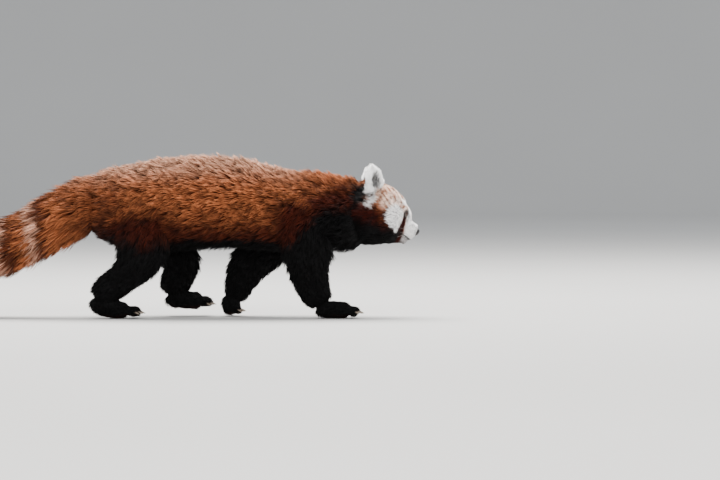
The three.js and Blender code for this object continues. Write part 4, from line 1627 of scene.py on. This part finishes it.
@dataclass
class Muzzle:
    """The nose pad, the line of the lips and the whiskers."""

    lip_radius: float = 1.9
    whiskers: int = 9
    whisker_length: float = 34.0

    def nose(self, finish: bpy.types.Material) -> None:
        """Make the nose pad, with its two nostrils and the furrow below them."""
        deselect_all()
        bpy.ops.mesh.primitive_uv_sphere_add(segments=48, ring_count=28, radius=MM, location=(0, 0, 0))
        piece = settle(bpy.context.active_object, "nose_pad")
        local = coords(piece.data) / MM * np.array(FACE.nose_size)
        local[:, 1] *= 1 - 0.16 * ease(local[:, 2], 0, -6)
        local[:, 0] += 0.9 * ease(local[:, 2], -2, 5)
        for side in SIDES.values():
            nostril = np.array([3.6, side * 4.6, -1.0])
            away = np.linalg.norm((local - nostril) / np.array([3.0, 2.3, 1.7]), axis=1)
            local -= np.outer(ease(away, 1.25, 0.2) * 2.6, np.array([0.9, side * 0.1, 0.2]))
        furrow = ease(np.abs(local[:, 1]), 0.9, 0.1) * ease(local[:, 2], 1, -2) * (local[:, 0] > 0)
        local[:, 0] -= 0.8 * furrow
        set_coords(piece.data, place(HEAD.out(local + np.array(FACE.nose))))
        bpy.ops.object.shade_smooth()
        piece.data.materials.append(finish)
        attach(piece, "root")
        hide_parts("nose")

    def lips(self, skin: bpy.types.Object, finish: bpy.types.Material) -> None:
        """Lay the dark line of the lips in the groove of the mouth, from corner to corner.

        Args:
            skin: The skin that the lips lie on.
            finish: Their material.
        """
        half = np.array(FACE.mouth)
        line = np.vstack([half, (half * np.array([1, -1, 1]))[::-1][1:]])
        steps = np.linspace(0, len(line) - 1, 49)
        path = np.stack([np.interp(steps, np.arange(len(line)), line[:, k]) for k in range(3)], axis=1)
        spots = []
        for point in path:
            found, spot, normal, _ = skin.closest_point_on_mesh(Vector(place(HEAD.out(point))))
            spots.append(np.array(spot) / MM - SHIFT + np.array(normal) * 0.3)
        thin = self.lip_radius * (0.55 + 0.45 * np.sin(np.linspace(0.12, math.pi - 0.12, len(spots))) ** 0.5)
        piece = self.hair_like("lip_line", [np.array(spots)], [thin], 8)
        piece.data.materials.append(finish)
        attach(piece, "root")

    def hair_like(self, name: str, paths: list, radii: list, sides: int) -> bpy.types.Object:
        """Sweep thin round tubes along paths, closed at both ends.

        Args:
            name: The piece's name.
            paths: Places along each tube, in the plan's millimetres.
            radii: The radius at each of those places.
            sides: How many sides each tube has.

        Returns:
            One piece with all the tubes.
        """
        verts, triangles, start = [], [], 0
        for path, radius in zip(paths, radii):
            along = unit(np.gradient(path, axis=0))
            across = unit(np.cross(along, UP + 0.01))
            over = np.cross(across, along)
            turn = np.linspace(0, 2 * math.pi, sides, endpoint=False)
            ring = across[:, None] * np.cos(turn)[None, :, None] + over[:, None] * np.sin(turn)[None, :, None]
            rows = path[:, None] + ring * np.asarray(radius)[:, None, None]
            verts.append(np.vstack([rows.reshape(-1, 3), path[:1], path[-1:]]))
            count = len(path)
            for i in range(count - 1):
                for k in range(sides):
                    a, b = start + i * sides + k, start + i * sides + (k + 1) % sides
                    triangles += [(a, b, a + sides), (b, b + sides, a + sides)]
            for k in range(sides):
                a, b = start + k, start + (k + 1) % sides
                triangles.append((b, a, start + count * sides))
                last = (count - 1) * sides
                triangles.append((a + last, b + last, start + count * sides + 1))
            start += count * sides + 2
        return mesh_from_arrays(name, place(np.vstack(verts)), np.array(triangles))

    def whisker_piece(self, skin: bpy.types.Object, finish: bpy.types.Material) -> None:
        """Set fine whiskers on both sides of the muzzle.

        Args:
            skin: The skin that they grow from.
            finish: Their material.
        """
        chance = np.random.default_rng(19)
        paths, radii = [], []
        for side in SIDES.values():
            for number in range(self.whiskers):
                root = np.array([58.0 + 3.4 * (number % 3), side * 15.0, -8.0 - 3.2 * (number // 3)])
                _, spot, _, _ = skin.closest_point_on_mesh(Vector(place(HEAD.out(root))))
                base = HEAD.into(np.array(spot) / MM - SHIFT)
                way = unit(np.array([-0.25 + 0.12 * (number % 3), side * 1.0, 0.12 - 0.16 * (number // 3)]))
                length = self.whisker_length * chance.uniform(0.6, 1.0)
                u = np.linspace(-0.03, 1, 9)[:, None]
                sag = np.array([-0.34, 0.0, -0.22]) * length * u**2
                paths.append(HEAD.out(base + way * length * u + sag))
                radii.append(0.22 * (1.05 - u[:, 0]) + 0.02)
        piece = self.hair_like("whiskers", paths, radii, 4)
        piece.data.materials.append(finish)
        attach(piece, "root")


@dataclass
class Claws:
    """The twenty claws, made smooth from the solids' own."""

    levels: int = 2

    def build(self, finish: bpy.types.Material) -> None:
        """Make a smooth claw in the place of each solid one.

        Args:
            finish: The horn.
        """
        for name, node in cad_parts.items():
            if not name.startswith("claw_"):
                continue
            piece = node.copy()
            piece.data = node.data.copy()
            piece.parent = None
            piece.matrix_world = node.matrix_world.copy()
            bpy.context.scene.collection.objects.link(piece)
            choose(piece)
            bpy.ops.object.mode_set(mode="EDIT")
            bpy.ops.mesh.select_all(action="SELECT")
            bpy.ops.mesh.remove_doubles(threshold=0.00001)
            bpy.ops.object.mode_set(mode="OBJECT")
            settle(piece, f"horn_{name}")
            apply_modifier(piece, "SUBSURF", levels=self.levels, render_levels=self.levels)
            bpy.ops.object.shade_smooth()
            places = coords(piece.data)
            along = (places[:, 0] - places[:, 0].min()) / np.ptp(places[:, 0])
            store_colour(piece.data, "claw", np.repeat(along[:, None], 3, axis=1))
            piece.data.materials.clear()
            piece.data.materials.append(finish)
            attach(piece, "root")
            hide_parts(name)


@dataclass(frozen=True)
class Lamp:
    """A soft rectangular light: its name, place and size in metres, its power in watts and its tint."""

    name: str
    where: tuple
    size: tuple
    power: float
    tint: Colour


@dataclass
class Studio:
    """The pale floor, the soft light and the camera at the photo's framing."""

    aim: tuple = (227.5, 0.0, 134.75)
    view_width: float = 1260.0
    lens: float = 150.0
    sensor: float = 36.0
    elevation: float = 1.6
    floor_size: tuple = (28.0, 24.0)
    wall_height: float = 5.0
    wall_bend: float = 3.0
    lamps: tuple = (
        Lamp("sky", (0.1, 0.9, 3.1), (3.2, 2.2), 455.0, (1.0, 0.985, 0.96)),
        Lamp("front", (0.6, -3.4, 1.7), (3.0, 2.0), 140.0, (1.0, 0.98, 0.95)),
    )
    air: Colour = (0.86, 0.9, 0.95)
    air_strength: float = 1.10

    def floor(self) -> None:
        """Lay a pale floor that sweeps up behind the animal."""
        deselect_all()
        bpy.ops.mesh.primitive_plane_add(size=1.0, location=(0, 0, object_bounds()[0][2] - 0.0005))
        piece = bpy.context.active_object
        piece.scale = (*self.floor_size, 1.0)
        settle(piece, "studio_floor")
        bpy.ops.object.mode_set(mode="EDIT")
        bpy.ops.mesh.select_all(action="DESELECT")
        bpy.ops.mesh.select_mode(type="EDGE")
        bpy.ops.object.mode_set(mode="OBJECT")
        far = max(vertex.co.y for vertex in piece.data.vertices)
        for edge in piece.data.edges:
            edge.select = all(piece.data.vertices[i].co.y > far - 0.01 for i in edge.vertices)
        bpy.ops.object.mode_set(mode="EDIT")
        bpy.ops.mesh.extrude_edges_move(TRANSFORM_OT_translate={"value": (0, 0, self.wall_height)})
        bpy.ops.object.mode_set(mode="OBJECT")
        apply_modifier(piece, "BEVEL", width=self.wall_bend, segments=16, limit_method="ANGLE")
        bpy.ops.object.shade_smooth()
        paper = PlainFinish("studio_paper", (0.47, 0.46, 0.445), (0.50, 0.49, 0.475), 0.9, 1.2)
        piece.data.materials.append(paper.material())
        piece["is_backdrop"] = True

    def light(self) -> None:
        """Light the animal softly from above and a little behind, with a weaker lamp in front."""
        for lamp in self.lamps:
            deselect_all()
            bpy.ops.object.light_add(type="AREA", location=lamp.where)
            made = bpy.context.active_object
            made.name = lamp.name
            made.data.shape = "RECTANGLE"
            made.data.size, made.data.size_y = lamp.size
            made.data.energy = lamp.power
            made.data.color = lamp.tint
            aim = Vector((0.0, 0.0, 0.15)) - Vector(lamp.where)
            made.rotation_euler = aim.to_track_quat("-Z", "Y").to_euler()
        world = bpy.data.worlds.new("studio_air")
        world.use_nodes = True
        background = world.node_tree.nodes["Background"]
        background.inputs["Color"].default_value = (*self.air, 1.0)
        background.inputs["Strength"].default_value = self.air_strength
        bpy.context.scene.world = world

    def camera(self) -> None:
        """Set the camera square to the animal's side, so that the frame cuts its tail as the photo does."""
        distance = self.view_width * self.lens / self.sensor
        rise = math.radians(self.elevation)
        offset = np.array([0.0, -distance * math.cos(rise), distance * math.sin(rise)])
        deselect_all()
        bpy.ops.object.camera_add(location=tuple(place(np.array(self.aim) + offset)))
        camera = bpy.context.active_object
        camera.name = "studio_camera"
        camera.data.lens = self.lens
        camera.data.sensor_width = self.sensor
        camera.data.clip_end = 60.0
        camera.rotation_euler = Vector(-offset).to_track_quat("-Z", "Y").to_euler()
        bpy.context.scene.camera = camera


def main() -> None:
    """Build the animal and its studio, in order."""
    logging.basicConfig(level=logging.INFO, format="%(name)s %(message)s")
    studio = Studio()
    studio.camera()
    studio.floor()
    studio.light()
    fur = CoatFinish()
    skin = Skin().build()
    skin.data.materials.append(fur.material("skin_under_coat", True))
    LOG.info("skin: %d faces", len(skin.data.polygons))
    Coat(skin, CoatMap(), Markings()).build(fur.material("fur", False))
    wet = WetSkinFinish("nose_and_lips").material()
    lids = WetSkinFinish("lid_skin", (0.010, 0.007, 0.006), (0.03, 0.018, 0.014), 0.5)
    Eyes().build(EyeFinish().material(), lids.material())
    muzzle = Muzzle()
    muzzle.nose(wet)
    muzzle.lips(skin, wet)
    whiskers = PlainFinish("whisker", (0.7, 0.68, 0.64), (0.85, 0.83, 0.8), 0.4, 300.0)
    muzzle.whisker_piece(skin, whiskers.material())
    Claws().build(HornFinish().material())


if __name__ == "__main__":
    main()
